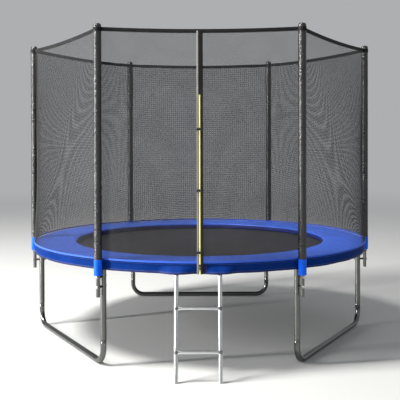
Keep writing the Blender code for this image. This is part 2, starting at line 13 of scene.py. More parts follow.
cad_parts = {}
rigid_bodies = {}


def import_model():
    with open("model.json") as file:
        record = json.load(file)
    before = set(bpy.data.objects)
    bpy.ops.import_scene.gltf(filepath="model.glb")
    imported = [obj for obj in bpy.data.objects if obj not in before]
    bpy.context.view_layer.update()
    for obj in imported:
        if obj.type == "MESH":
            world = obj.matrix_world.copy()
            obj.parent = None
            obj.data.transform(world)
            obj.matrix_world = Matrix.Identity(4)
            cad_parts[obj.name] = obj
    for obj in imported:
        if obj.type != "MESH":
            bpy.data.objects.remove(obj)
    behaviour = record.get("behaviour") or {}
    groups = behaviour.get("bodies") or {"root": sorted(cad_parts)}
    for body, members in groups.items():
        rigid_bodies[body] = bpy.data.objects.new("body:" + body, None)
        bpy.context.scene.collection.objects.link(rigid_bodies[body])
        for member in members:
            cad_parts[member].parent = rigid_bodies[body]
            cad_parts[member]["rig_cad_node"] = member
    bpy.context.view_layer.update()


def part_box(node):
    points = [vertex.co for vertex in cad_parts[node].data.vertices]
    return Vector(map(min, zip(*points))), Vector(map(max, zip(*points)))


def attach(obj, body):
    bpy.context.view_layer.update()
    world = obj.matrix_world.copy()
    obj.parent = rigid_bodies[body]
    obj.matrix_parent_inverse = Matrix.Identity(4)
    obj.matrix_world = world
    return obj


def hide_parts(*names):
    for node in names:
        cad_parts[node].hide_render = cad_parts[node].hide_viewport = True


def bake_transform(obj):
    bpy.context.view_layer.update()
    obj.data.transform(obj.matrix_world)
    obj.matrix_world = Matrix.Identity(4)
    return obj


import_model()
scene = bpy.context.scene
for name in ("Cube", "Light", "Camera"):
    if name in bpy.data.objects and "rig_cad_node" not in bpy.data.objects[name]:
        bpy.data.objects.remove(bpy.data.objects[name])

PAD_LOW, PAD_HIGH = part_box("spring_pad")
SHIFT = (PAD_LOW.y + PAD_HIGH.y) / 2

# ------------------------------------------------------------------ dimensions, as in the CAD model
RING_R, RING_Z, TUBE_R = 1.201, 0.6225, 0.019
LEG_NAMES = ("right", "back_right", "back_left", "left", "front_left", "front_right")
LEG_ANGLES = [k * pi / 3 for k in range(6)]
PANEL_NAMES = ("back_right", "back", "back_left", "front_left", "front", "front_right")
JOINT_Z = 0.164
BASE_BEND = 0.095
POLE_AT, POLE_R, POLE_LOW, POLE_HIGH = 1.254, 0.0125, 0.438, 2.096
SLEEVE_R, SLEEVE_LOW, SLEEVE_HIGH, CUFF_HIGH = 0.025, 0.572, 2.117, 0.669
BOLT_HEIGHTS = (0.499, 0.5605)
MAT_R, MAT_Z = 1.000, 0.6225
SPRINGS = 48
PAD_IN, PAD_OUT, PAD_Z0, PAD_Z1 = 0.925, 1.2218, 0.6465, 0.665
SKIRT_R, SKIRT_LOW, SKIRT_HIGH, SKIRT_BULGE = 1.2234, 0.604, 0.6635, 0.034
NET_TOP_Z, NET_SAG, NET_LOW_Z, NET_LOW_R = 2.0925, 0.014, 0.6675, 1.2285
NET_TOP_R = POLE_AT * cos(pi / 6)
BUCKLE_HEIGHTS = {"lower": 0.731, "middle": 1.097, "upper": 1.465}
LADDER_X, RAIL_HALF, RAIL_R = -0.012, 0.1295, 0.0125
RAIL_FOOT_Y, RAIL_TOP_Y, RAIL_TOP_Z = -1.368, -1.2318, 0.608
RUNG_HEIGHTS = {"lower": 0.168, "upper": 0.4110}
HINGE_Y = -1.1925
RAIL_SLOPE = (RAIL_TOP_Y - RAIL_FOOT_Y) / RAIL_TOP_Z
RAIL_LEAN = atan2(RAIL_SLOPE, 1)
rng = np.random.default_rng(7)


# ------------------------------------------------------------------ mesh helpers
class Piece:
    """Collects vertices, faces, material numbers and texture coordinates, then becomes one object."""

    def __init__(self, name, *materials):
        self.name, self.materials = name, list(materials)
        self.verts, self.faces, self.index, self.uv, self.count = [], [], [], [], 0

    def add(self, verts, faces, material=0, uv=None):
        verts = np.asarray(verts, float).reshape(-1, 3)
        self.verts.append(verts)
        self.faces += [tuple(int(i) + self.count for i in f) for f in faces]
        self.index += [material] * len(faces)
        self.uv.append(np.zeros((len(verts), 2)) if uv is None else np.asarray(uv, float).reshape(-1, 2))
        self.count += len(verts)
        return self

    def build(self, body=None, smooth=True, sharp=38, shift=True):
        mesh = bpy.data.meshes.new(self.name)
        verts = np.concatenate(self.verts)
        if shift:
            verts = verts + np.array([0, SHIFT, 0])
        mesh.from_pydata(verts.tolist(), [], self.faces)
        for m in self.materials:
            mesh.materials.append(m)
        mesh.polygons.foreach_set("material_index", self.index)
        layer = mesh.uv_layers.new(name="UVMap")
        loops = np.zeros(len(mesh.loops), np.int32)
        mesh.loops.foreach_get("vertex_index", loops)
        layer.data.foreach_set("uv", np.concatenate(self.uv)[loops].astype(np.float32).ravel())
        mesh.update()
        if smooth:
            mesh.shade_smooth()
            if sharp:
                mesh.set_sharp_from_angle(angle=radians(sharp))
        obj = bpy.data.objects.new(self.name, mesh)
        scene.collection.objects.link(obj)
        if body:
            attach(obj, body)
        return obj


def grid_faces(rows, cols, close_rows=False, close_cols=False, flip=False):
    """Quads of a grid of rows x cols points."""
    r = np.arange(rows if close_rows else rows - 1)
    c = np.arange(cols if close_cols else cols - 1)
    R, C = np.meshgrid(r, c, indexing="ij")
    R2, C2 = (R + 1) % rows, (C + 1) % cols
    quads = np.stack([R * cols + C, R * cols + C2, R2 * cols + C2, R2 * cols + C], -1).reshape(-1, 4)
    return quads[:, ::-1] if flip else quads


def frames_along(path, closed=False, up=None):
    """Tangents and two crosswise directions at each point of a path, with as little twist as possible."""
    path = np.asarray(path, float)
    if closed:
        tangent = np.roll(path, -1, 0) - np.roll(path, 1, 0)
    else:
        tangent = np.gradient(path, axis=0)
    tangent /= np.linalg.norm(tangent, axis=1)[:, None] + 1e-15
    if up is not None:
        up = np.broadcast_to(np.asarray(up, float), path.shape)
        side = np.cross(tangent, up)
        side /= np.linalg.norm(side, axis=1)[:, None] + 1e-15
        return tangent, side, np.cross(side, tangent)
    first = np.array([0, 0, 1.0]) if abs(tangent[0][2]) < 0.9 else np.array([1.0, 0, 0])
    n = np.cross(tangent[0], first)
    n /= np.linalg.norm(n)
    normals = [n]
    for i in range(1, len(path)):
        n = n - tangent[i] * (n @ tangent[i])
        n /= np.linalg.norm(n) + 1e-15
        normals.append(n)
    normals = np.array(normals)
    return tangent, normals, np.cross(tangent, normals)


def sweep(path, radius, sides=16, closed=False, caps=True, up=None, flat=None, phase=0.0):
    """A round bar along a path. radius is one number or one for each point; flat scales the second direction."""
    path = np.asarray(path, float)
    n = len(path)
    _, a, b = frames_along(path, closed, up)
    radius = np.broadcast_to(np.asarray(radius, float), (n,))
    second = radius if flat is None else np.broadcast_to(np.asarray(flat, float), (n,))
    angles = phase + 2 * pi * np.arange(sides) / sides
    verts = (path[:, None] + a[:, None] * (np.cos(angles)[None, :, None] * radius[:, None, None])
             + b[:, None] * (np.sin(angles)[None, :, None] * second[:, None, None]))
    along = np.concatenate([[0], np.cumsum(np.linalg.norm(np.diff(path, axis=0), axis=1))])
    uv = np.stack(np.broadcast_arrays(angles[None] / (2 * pi), along[:, None]), -1)
    faces = [tuple(f) for f in grid_faces(n, sides, close_rows=closed, close_cols=True)]
    if caps and not closed:
        faces += [tuple(range(sides))[::-1], tuple((n - 1) * sides + k for k in range(sides))]
    return verts.reshape(-1, 3), faces, uv.reshape(-1, 2)


def strip(path, width_dir, half_width, half_thick, caps=True):
    """A flat strap along a path. width_dir is the direction across it, one for all points or one each."""
    path = np.asarray(path, float)
    n = len(path)
    tangent = np.gradient(path, axis=0)
    tangent /= np.linalg.norm(tangent, axis=1)[:, None]
    w = np.broadcast_to(np.asarray(width_dir, float), path.shape)
    w = w - tangent * (w * tangent).sum(1)[:, None]
    w /= np.linalg.norm(w, axis=1)[:, None]
    t = np.cross(tangent, w)
    hw = np.broadcast_to(np.asarray(half_width, float), (n,))[:, None]
    ht = np.broadcast_to(np.asarray(half_thick, float), (n,))[:, None]
    # rounded edges: eight points round the section
    ring = [(-1, -0.55), (-0.94, -1), (0.94, -1), (1, -0.55), (1, 0.55), (0.94, 1), (-0.94, 1), (-1, 0.55)]
    verts = np.stack([path + w * (hw * u) + t * (ht * v) for u, v in ring], 1)
    along = np.concatenate([[0], np.cumsum(np.linalg.norm(np.diff(path, axis=0), axis=1))])
    across = np.array([u for u, _ in ring])
    uv = np.stack(np.broadcast_arrays(across[None] * hw, along[:, None]), -1)
    faces = [tuple(f) for f in grid_faces(n, 8, close_cols=True)]
    if caps:
        faces += [tuple(range(8))[::-1], tuple((n - 1) * 8 + k for k in range(8))]
    return verts.reshape(-1, 3), faces, uv.reshape(-1, 2)


def lathe(profile, sides=32, axis_at=(0, 0, 0), axis="Z", closed=False):
    """Turned shape from (radius, height) points. A zero radius at an end closes it."""
    profile = np.asarray(profile, float)
    n = len(profile)
    angles = 2 * pi * np.arange(sides) / sides
    r, h = profile[:, 0], profile[:, 1]
    x = r[:, None] * np.cos(angles)[None]
    y = r[:, None] * np.sin(angles)[None]
    z = np.broadcast_to(h[:, None], x.shape)
    if axis == "X":
        verts = np.stack([z, x, y], -1)
    elif axis == "Y":
        verts = np.stack([y, z, x], -1)
    else:
        verts = np.stack([x, y, z], -1)
    verts = verts.reshape(-1, 3) + np.asarray(axis_at, float)
    faces = [tuple(f) for f in grid_faces(n, sides, close_rows=closed, close_cols=True)]
    along = np.concatenate([[0], np.cumsum(np.linalg.norm(np.diff(profile, axis=0), axis=1))])
    uv = np.stack(np.broadcast_arrays(angles[None] / (2 * pi), along[:, None]), -1).reshape(-1, 2)
    return verts, faces, uv


def tidy(obj, merge=1e-6):
    """Merges doubled points, drops faces without area and turns normals outward."""
    bm = bmesh.new()
    bm.from_mesh(obj.data)
    bmesh.ops.remove_doubles(bm, verts=bm.verts, dist=merge)
    bmesh.ops.dissolve_degenerate(bm, edges=bm.edges, dist=merge)
    bmesh.ops.recalc_face_normals(bm, faces=bm.faces)
    bm.to_mesh(obj.data)
    bm.free()
    obj.data.update()
    return obj


def turned(verts, angle):
    """The points turned about Z."""
    c, s = cos(angle), sin(angle)
    v = np.asarray(verts, float)
    return np.stack([c * v[:, 0] - s * v[:, 1], s * v[:, 0] + c * v[:, 1], v[:, 2]], -1)


def placed(verts, origin, x_axis, z_axis=(0, 0, 1)):
    """Points in a local frame carried to origin, with its X along x_axis and its Z as near z_axis as it can be."""
    x = np.asarray(x_axis, float)
    x = x / np.linalg.norm(x)
    z = np.asarray(z_axis, float)
    z = z - x * (z @ x)
    z = z / np.linalg.norm(z)
    y = np.cross(z, x)
    return np.asarray(verts, float) @ np.stack([x, y, z]) + np.asarray(origin, float)


def polar(r, a, z=0.0):
    return np.stack(np.broadcast_arrays(r * np.cos(a), r * np.sin(a), z), -1).astype(float)


def smoothstep(a, b, x):
    t = np.clip((np.asarray(x, float) - a) / (b - a), 0, 1)
    return t * t * (3 - 2 * t)


def ripple(x, seed, terms=5, low=1.0, high=6.0, period=None):
    """A smooth, repeatable wave of x with height about 1. With a period the frequencies are whole numbers of it."""
    g = np.random.default_rng(seed)
    total = np.zeros_like(np.asarray(x, float))
    for k in range(terms):
        f = g.uniform(low, high)
        if period:
            f = max(1, round(f * period / (2 * pi))) * 2 * pi / period
        total = total + g.uniform(0.5, 1) * np.sin(f * x + g.uniform(0, 2 * pi))
    return total / sqrt(terms)


# ------------------------------------------------------------------ materials
class Nodes:
    """A short way to write a node tree."""

    def __init__(self, name, base=(0.5, 0.5, 0.5), roughness=0.5, metallic=0.0, **more):
        self.mat = bpy.data.materials.new(name)
        self.mat.use_nodes = True
        self.tree = self.mat.node_tree
        self.bsdf = self.tree.nodes["Principled BSDF"]
        self.bsdf.inputs["Base Color"].default_value = (*base, 1)
        self.bsdf.inputs["Roughness"].default_value = roughness
        self.bsdf.inputs["Metallic"].default_value = metallic
        for key, value in more.items():
            self.bsdf.inputs[key.replace("_", " ")].default_value = value
        self.mat.diffuse_color = (*base, 1)
        self.object_coords = None

    def node(self, kind, **settings):
        n = self.tree.nodes.new(kind)
        for key, value in settings.items():
            if key.startswith("in_"):
                n.inputs[key[3:].replace("_", " ")].default_value = value
            else:
                setattr(n, key, value)
        return n

    def link(self, a, b):
        self.tree.links.new(a, b)

    def coords(self, kind="Object"):
        if self.object_coords is None:
            self.object_coords = self.node("ShaderNodeTexCoord")
        return self.object_coords.outputs[kind]

    def scaled(self, source, scale, location=(0, 0, 0), rotation=(0, 0, 0)):
        m = self.node("ShaderNodeMapping")
        m.inputs["Scale"].default_value = scale
        m.inputs["Location"].default_value = location
        m.inputs["Rotation"].default_value = rotation
        self.link(source, m.inputs["Vector"])
        return m.outputs["Vector"]

    def noise(self, vector, scale, detail=3.0, rough=0.55):
        n = self.node("ShaderNodeTexNoise")
        n.inputs["Scale"].default_value = scale
        n.inputs["Detail"].default_value = detail
        n.inputs["Roughness"].default_value = rough
        self.link(vector, n.inputs["Vector"])
        return n.outputs["Fac"]

    def wave(self, vector, scale, direction="X", profile="SIN", distortion=0.0):
        n = self.node("ShaderNodeTexWave", wave_type="BANDS", bands_direction=direction, wave_profile=profile)
        n.inputs["Scale"].default_value = scale
        n.inputs["Distortion"].default_value = distortion
        self.link(vector, n.inputs["Vector"])
        return n.outputs["Fac"]

    def voronoi(self, vector, scale, feature="F1", output="Distance"):
        n = self.node("ShaderNodeTexVoronoi", feature=feature)
        n.inputs["Scale"].default_value = scale
        self.link(vector, n.inputs["Vector"])
        return n.outputs[output]

    def ramp(self, fac, stops):
        n = self.node("ShaderNodeValToRGB")
        while len(n.color_ramp.elements) < len(stops):
            n.color_ramp.elements.new(0.5)
        for e, (at, colour) in zip(n.color_ramp.elements, stops):
            e.position = at
            e.color = (*colour, 1) if hasattr(colour, "__len__") else (colour, colour, colour, 1)
        self.link(fac, n.inputs["Fac"])
        return n.outputs["Color"]

    def maths(self, op, a, b=None):
        n = self.node("ShaderNodeMath", operation=op)
        for i, v in enumerate((a, b)):
            if v is None:
                continue
            if isinstance(v, (int, float)):
                n.inputs[i].default_value = v
            else:
                self.link(v, n.inputs[i])
        return n.outputs[0]

    def mix(self, fac, a, b, blend="MIX"):
        n = self.node("ShaderNodeMix", data_type="RGBA", blend_type=blend)
        for socket, v in ((n.inputs["Factor"], fac), (n.inputs["A"], a), (n.inputs["B"], b)):
            if isinstance(v, (int, float)):
                socket.default_value = v
            elif hasattr(v, "__len__"):
                socket.default_value = (*v, 1)
            else:
                self.link(v, socket)
        return n.outputs["Result"]

    def colour(self, output):
        self.link(output, self.bsdf.inputs["Base Color"])
        return self

    def roughness(self, fac, low, high):
        n = self.node("ShaderNodeMapRange")
        n.inputs["To Min"].default_value = low
        n.inputs["To Max"].default_value = high
        self.link(fac, n.inputs["Value"])
        self.link(n.outputs["Result"], self.bsdf.inputs["Roughness"])
        return self

    def bump(self, *layers):
        """layers are (height output, strength, distance in metres)."""
        last = None
        for height, strength, distance in layers:
            n = self.node("ShaderNodeBump")
            n.inputs["Strength"].default_value = strength
            n.inputs["Distance"].default_value = distance
            self.link(height, n.inputs["Height"])
            if last is not None:
                self.link(last, n.inputs["Normal"])
            last = n.outputs["Normal"]
        self.link(last, self.bsdf.inputs["Normal"])
        return self


def galvanised(name, base, spread=0.10, roughness=(0.20, 0.36)):
    """Zinc-coated tube: a fine spangle, faint drawing marks and dull patches."""
    n = Nodes(name, base, 0.35, 1.0)
    v = n.coords()
    spangle = n.voronoi(n.scaled(v, (1, 1, 0.6)), 190, output="Color")
    cloudy = n.noise(v, 22, 4)
    dark = tuple(c * (1 - spread) for c in base)
    light = tuple(min(1, c * (1 + spread)) for c in base)
    first = n.mix(n.maths("MULTIPLY", spangle, 1.0), dark, light)
    n.colour(n.mix(n.ramp(cloudy, [(0.35, 0.0), (0.75, 0.55)]), first, tuple(c * 0.86 for c in base)))
    n.roughness(n.maths("ADD", n.maths("MULTIPLY", cloudy, 0.7), n.maths("MULTIPLY", n.noise(v, 260, 2), 0.3)), *roughness)
    n.bump((n.noise(n.scaled(v, (1, 1, 0.12)), 420, 2), 0.10, 0.0006), (cloudy, 0.05, 0.004))
    return n.mat


# frame tubes: galvanised steel given a far darker colour than the ladder's, a painted dark reflection of dark
# surroundings
GALV = galvanised("galvanised_tube", (0.145, 0.149, 0.143), 0.12, (0.17, 0.30))
GALV_LADDER = galvanised("galvanised_ladder", (0.64, 0.655, 0.66), 0.07, (0.16, 0.30))
ZINC = galvanised("zinc_fastener", (0.60, 0.61, 0.60), 0.06, (0.24, 0.36))
SPRING_WIRE = galvanised("spring_wire", (0.52, 0.53, 0.55), 0.05, (0.22, 0.34))
WELD = galvanised("weld_bead", (0.30, 0.31, 0.31), 0.25, (0.45, 0.65))


def vinyl(name, base, sheen=0.0, coat=0.03, weave=1.0, rough=(0.34, 0.50), spec=0.18):
    """Coated cloth: the base cloth's fine weave shows through a slightly glossy film, with soft creases."""
    n = Nodes(name, base, 0.42, 0.0, Coat_Weight=coat, Coat_Roughness=0.32, Specular_IOR_Level=spec)
    v = n.coords()
    u = n.coords("UV")
    cloudy = n.noise(v, 5.5, 5, 0.6)
    fine = n.noise(v, 60, 3)
    a = n.wave(n.scaled(u, (1, 1, 1)), 330 * weave, "X")
    b = n.wave(n.scaled(u, (1, 1, 1)), 330 * weave, "Y")
    cloth = n.maths("MAXIMUM", a, b)
    dark = tuple(c * 0.86 for c in base)
    light = tuple(min(1, c * 1.10 + 0.004) for c in base)
    tone = n.mix(n.ramp(cloudy, [(0.30, 0.0), (0.70, 1.0)]), dark, light)
    n.colour(n.mix(n.maths("MULTIPLY", cloth, 0.16), tone, tuple(c * 0.72 for c in base)))
    n.roughness(n.maths("ADD", n.maths("MULTIPLY", cloudy, 0.6), n.maths("MULTIPLY", fine, 0.4)), *rough)
    n.bump((cloth, 0.12, 0.0004), (n.noise(v, 28, 4), 0.16, 0.0030), (n.noise(n.scaled(v, (1, 1, 2.2)), 9, 3), 0.14, 0.010))
    return n.mat


PAD_BLUE = vinyl("pad_vinyl_blue", (0.040, 0.132, 0.690), spec=0.26, coat=0.06)
# the skirt's vinyl: the pad's own blue painted far darker, painted shade on the upright cloth
SKIRT_BLUE_SHADED = vinyl("skirt_vinyl_painted_shade", (0.0004, 0.020, 0.142), coat=0.0, spec=0.02, rough=(0.46, 0.62))
# a still darker blue, painted shade: the band under the skirt's hem fold and the strip beside the door
SKIRT_SHADE_BLUE = vinyl("skirt_painted_shade_blue", (0.004, 0.012, 0.085), weave=2.2, coat=0.0, rough=(0.5, 0.7))
# dark navy for the inner flap: painted shade under the pad's inner edge
PAD_FLAP_SHADED = vinyl("pad_flap_painted_shade", (0.010, 0.022, 0.160), coat=0.0, rough=(0.45, 0.65))
PAD_UNDER = vinyl("pad_backing", (0.010, 0.016, 0.070), coat=0.0, rough=(0.55, 0.75))


def woven(name, base, pitch, contrast=0.35, rough=(0.55, 0.75), sheen=0.15, depth=0.0004, metre_coords="UV", spec=0.3):
    """Plain weave: over and under threads from two crossed waves, with worn, uneven threads."""
    n = Nodes(name, base, 0.65, 0.0, Sheen_Weight=sheen, Sheen_Roughness=0.4, Specular_IOR_Level=spec)
    u = n.coords(metre_coords)
    v = n.coords()
    scale = 1.0 / pitch / 2 * 0.31831 * 2 * pi / 2
    a = n.wave(u, scale, "X")
    b = n.wave(u, scale, "Y")
    over = n.maths("ABSOLUTE", n.maths("SUBTRACT", a, b))
    cloudy = n.noise(v, 7, 5, 0.6)
    dark = tuple(c * (1 - contrast) for c in base)
    light = tuple(min(1, c * (1 + contrast)) for c in base)
    tone = n.mix(over, dark, light)
    n.colour(n.mix(n.ramp(cloudy, [(0.35, 0.0), (0.75, 0.35)]), tone, tuple(min(1, c * 1.25 + 0.01) for c in base)))
    n.roughness(cloudy, *rough)
    n.bump((over, 0.35, depth), (n.noise(v, 90, 2), 0.10, 0.0006))
    return n.mat


MAT_WEAVE = woven("mat_weave", (0.026, 0.026, 0.032), 0.0022, 0.30, (0.50, 0.72), 0.0)
WEBBING = woven("black_webbing", (0.0060, 0.0055, 0.0060), 0.0016, 0.40, (0.55, 0.75), 0.0, spec=0.16)
GREY_TAPE = woven("grey_edge_tape", (0.235, 0.230, 0.205), 0.0012, 0.18, (0.6, 0.8), 0.1)
YELLOW_TAPE = woven("zip_tape_yellow", (0.78, 0.72, 0.24), 0.0011, 0.12, (0.55, 0.75), 0.1)
YELLOW_COIL = woven("zip_coil_yellow", (0.80, 0.74, 0.30), 0.0011, 0.05, (0.35, 0.45), 0.0)
NET_YARN = woven("net_yarn", (0.016, 0.016, 0.017), 0.0009, 0.25, (0.55, 0.7), 0.0, spec=0.2)
NET_HEM = woven("net_hem_tape", (0.020, 0.085, 0.500), 0.0016, 0.25, (0.55, 0.75), 0.1)
STITCH = woven("stitch_thread", (0.16, 0.22, 0.50), 0.0006, 0.2, (0.5, 0.6), 0.1)
STITCH_BLACK = woven("stitch_thread_black", (0.10, 0.10, 0.11), 0.0006, 0.2, (0.5, 0.6), 0.1)


def sleeve_cloth(name, base, gloss=0.36, coat=0.10, spec=0.42, crease=0.0):
    """Thin coated cloth drawn over foam: fine weave, small cross wrinkles."""
    n = Nodes(name, base, gloss, 0.0, Coat_Weight=coat, Coat_Roughness=0.28, Specular_IOR_Level=spec)
    v = n.coords()
    wrinkle = n.noise(n.scaled(v, (1, 1, 3.2)), 26, 4, 0.6)
    cloudy = n.noise(v, 9, 4)
    fine = n.wave(n.scaled(v, (0, 0, 1)), 300, "Z")
    n.colour(n.mix(n.ramp(cloudy, [(0.3, 0.0), (0.7, 1.0)]), tuple(c * 0.8 for c in base), tuple(min(1, c * 1.25 + 0.003) for c in base)))
    n.roughness(n.maths("ADD", n.maths("MULTIPLY", cloudy, 0.5), n.maths("MULTIPLY", wrinkle, 0.5)), gloss - 0.08, gloss + 0.16)
    n.bump((fine, 0.06, 0.0003), (wrinkle, 0.75 if crease else 0.45, 0.0090 if crease else 0.0060), (n.noise(n.scaled(v, (1, 1, 1.3)), 48, 3, 0.6), 0.6 * crease, 0.0060))
    return n.mat


SLEEVE = sleeve_cloth("sleeve_cloth_black", (0.008, 0.0074, 0.0070), 0.25, 0.0, 0.62, 1.0)
CUFF = sleeve_cloth("cuff_cloth_blue", (0.000, 0.092, 0.700), 0.40, 0.0, 0.14)
CUFF_EDGE = sleeve_cloth("cuff_binding", (0.010, 0.030, 0.160), 0.5)


def plastic(name, base, rough=(0.32, 0.46), grain=900):
    n = Nodes(name, base, 0.4, 0.0, Specular_IOR_Level=0.5)
    v = n.coords()
    cloudy = n.noise(v, 70, 3)
    n.colour(n.mix(cloudy, tuple(c * 0.75 for c in base), tuple(min(1, c * 1.3) for c in base)))
    n.roughness(cloudy, *rough)
    n.bump((n.noise(v, grain, 2), 0.16, 0.0002))
    return n.mat


BLACK_PLASTIC = plastic("moulded_black_plastic", (0.010, 0.010, 0.011))
RUBBER = plastic("black_rubber", (0.006, 0.006, 0.007), (0.55, 0.70), 500)
SLIDER_PAINT = plastic("slider_black_enamel", (0.030, 0.030, 0.032), (0.25, 0.36), 300)
FOAM = plastic("white_foam", (0.72, 0.72, 0.69), (0.75, 0.9), 260)


WORLD_COLOUR, WORLD_STRENGTH = (0.91, 0.93, 0.96), 0.46


# ------------------------------------------------------------------ camera and light, at the picture's viewing angle
camera = bpy.data.objects.new("camera", bpy.data.cameras.new("camera"))
scene.collection.objects.link(camera)
scene.camera = camera
CAM_PITCH, CAM_YAW, CAM_ROLL = 0.010, 0.0023, -0.0022
camera.data.sensor_width = 36
camera.data.lens = 66.178
camera.data.shift_y = -0.1269
camera.data.clip_end = 200
c, s = cos(-CAM_YAW), sin(-CAM_YAW)
cx, cy = 0.0027, -5.5866
camera.location = (c * cx - s * cy, s * cx + c * cy + SHIFT, 1.3893)
camera.rotation_mode = "XYZ"
camera.matrix_world = (Matrix.Translation(camera.location) @ Matrix.Rotation(-CAM_YAW, 4, "Z")
                       @ Matrix.Rotation(pi / 2 - CAM_PITCH, 4, "X") @ Matrix.Rotation(CAM_ROLL, 4, "Z"))


def area_light(name, at, target, size, power, colour=(1, 1, 1), tall=None):
    data = bpy.data.lights.new(name, "AREA")
    data.shape = "RECTANGLE" if tall else "DISK"
    data.size, data.energy, data.color = size, power, colour
    if tall:
        data.size_y = tall
    obj = bpy.data.objects.new(name, data)
    scene.collection.objects.link(obj)
    obj.location = at
    obj.rotation_euler = (Vector(target) - Vector(at)).to_track_quat("-Z", "Y").to_euler()
    obj.visible_camera = False
    return obj


area_light("key", (-4.8, -2.0, 7.8), (0, 0, 0.6), 2.2, 1550, (1.0, 0.985, 0.955))
area_light("fill", (6.0, -7.0, 3.6), (0, 0, 0.9), 4.0, 16, (0.93, 0.965, 1.0))
area_light("front", (-1.5, -9.0, 5.0), (0, 0, 0.9), 3.5, 40)
area_light("rim_left", (-7.5, -2.6, 1.9), (0, 0, 0.9), 0.5, 1150, (1.0, 0.99, 0.97), 4.6)
area_light("rim_right", (7.0, 3.5, 2.2), (0, 0, 0.9), 0.6, 4, (0.96, 0.98, 1.0), 4.2)

world = bpy.data.worlds.new("studio")
scene.world = world
world.use_nodes = True
world.node_tree.nodes["Background"].inputs["Color"].default_value = WORLD_COLOUR + (1,)
world.node_tree.nodes["Background"].inputs["Strength"].default_value = WORLD_STRENGTH
scene.view_settings.view_transform = "Standard"
scene.view_settings.look = "None"

# the pale floor, which turns into the backdrop's own tone far behind the trampoline
paint = Nodes("floor_pale", (0.47, 0.473, 0.468), 0.85)
far = paint.node("ShaderNodeVectorMath", operation="LENGTH")
paint.link(paint.coords(), far.inputs[0])
step = paint.node("ShaderNodeMapRange", interpolation_type="SMOOTHSTEP")
step.inputs["From Min"].default_value = 4.5
step.inputs["From Max"].default_value = 17.0
paint.link(far.outputs["Value"], step.inputs["Value"])
glow = paint.node("ShaderNodeEmission")
glow.inputs["Color"].default_value = WORLD_COLOUR + (1,)
glow.inputs["Strength"].default_value = WORLD_STRENGTH
blend_ = paint.node("ShaderNodeMixShader")
paint.link(step.outputs["Result"], blend_.inputs["Fac"])
paint.link(paint.bsdf.outputs[0], blend_.inputs[1])
paint.link(glow.outputs[0], blend_.inputs[2])
paint.link(blend_.outputs[0], paint.tree.nodes["Material Output"].inputs["Surface"])
floor = Piece("floor", paint.mat)
floor.add([(-40, -40, -0.0006), (40, -40, -0.0006), (40, 40, -0.0006), (-40, 40, -0.0006)], [(0, 1, 2, 3)])
floor.build(smooth=False, shift=False)


# ------------------------------------------------------------------ tubes of the frame
def hollow(path, outer, inner, sides=28):
    """A tube with a real wall. outer and inner are radii, one for the whole path or one for each point."""
    v1, f1, u1 = sweep(path, outer, sides, caps=False)
    v2, f2, u2 = sweep(path, inner, sides, caps=False)
    k, last = len(v1), (len(path) - 1) * sides
    faces = list(f1) + [tuple(i + k for i in reversed(f)) for f in f2]
    for j in range(sides):
        a, b = j, (j + 1) % sides
        faces.append((b, a, k + a, k + b))
        faces.append((last + a, last + b, k + last + b, k + last + a))
    return np.concatenate([v1, v2]), faces, np.concatenate([u1, u2])


def eased_ends(stations, edge=0.0006):
    """(position, radius) stations with a small rounding at the first and last."""
    (p0, r0), (p1, r1) = stations[0], stations[-1]
    d0 = edge if stations[1][0] > p0 else -edge
    return [(p0, r0 - edge), (p0 + d0, r0)] + stations[1:-1] + [(p1 - d0, r1), (p1, r1 - edge)]


def tube(name, stations, wall, place, material, sides=28):
    """A straight tube along Z with (height, radius) stations, at place = (x, y)."""
    rows = eased_ends(stations)
    path = [(place[0], place[1], z) for z, _ in rows]
    radii = np.array([r for _, r in rows])
    piece = Piece(name, material)
    piece.add(*hollow(path, radii, np.full(len(rows), radii.min() - wall), sides)[:2])
    return piece


def bead(path, radius, seed, sides=8, closed=True):
    """A weld bead with its row of ripples."""
    n = len(path)
    k = np.arange(n)
    return sweep(path, radius * (1 + 0.22 * np.sin(k * 2 * pi / 3.0) + 0.10 * ripple(k * 0.7, seed)), sides, closed=closed, caps=not closed)


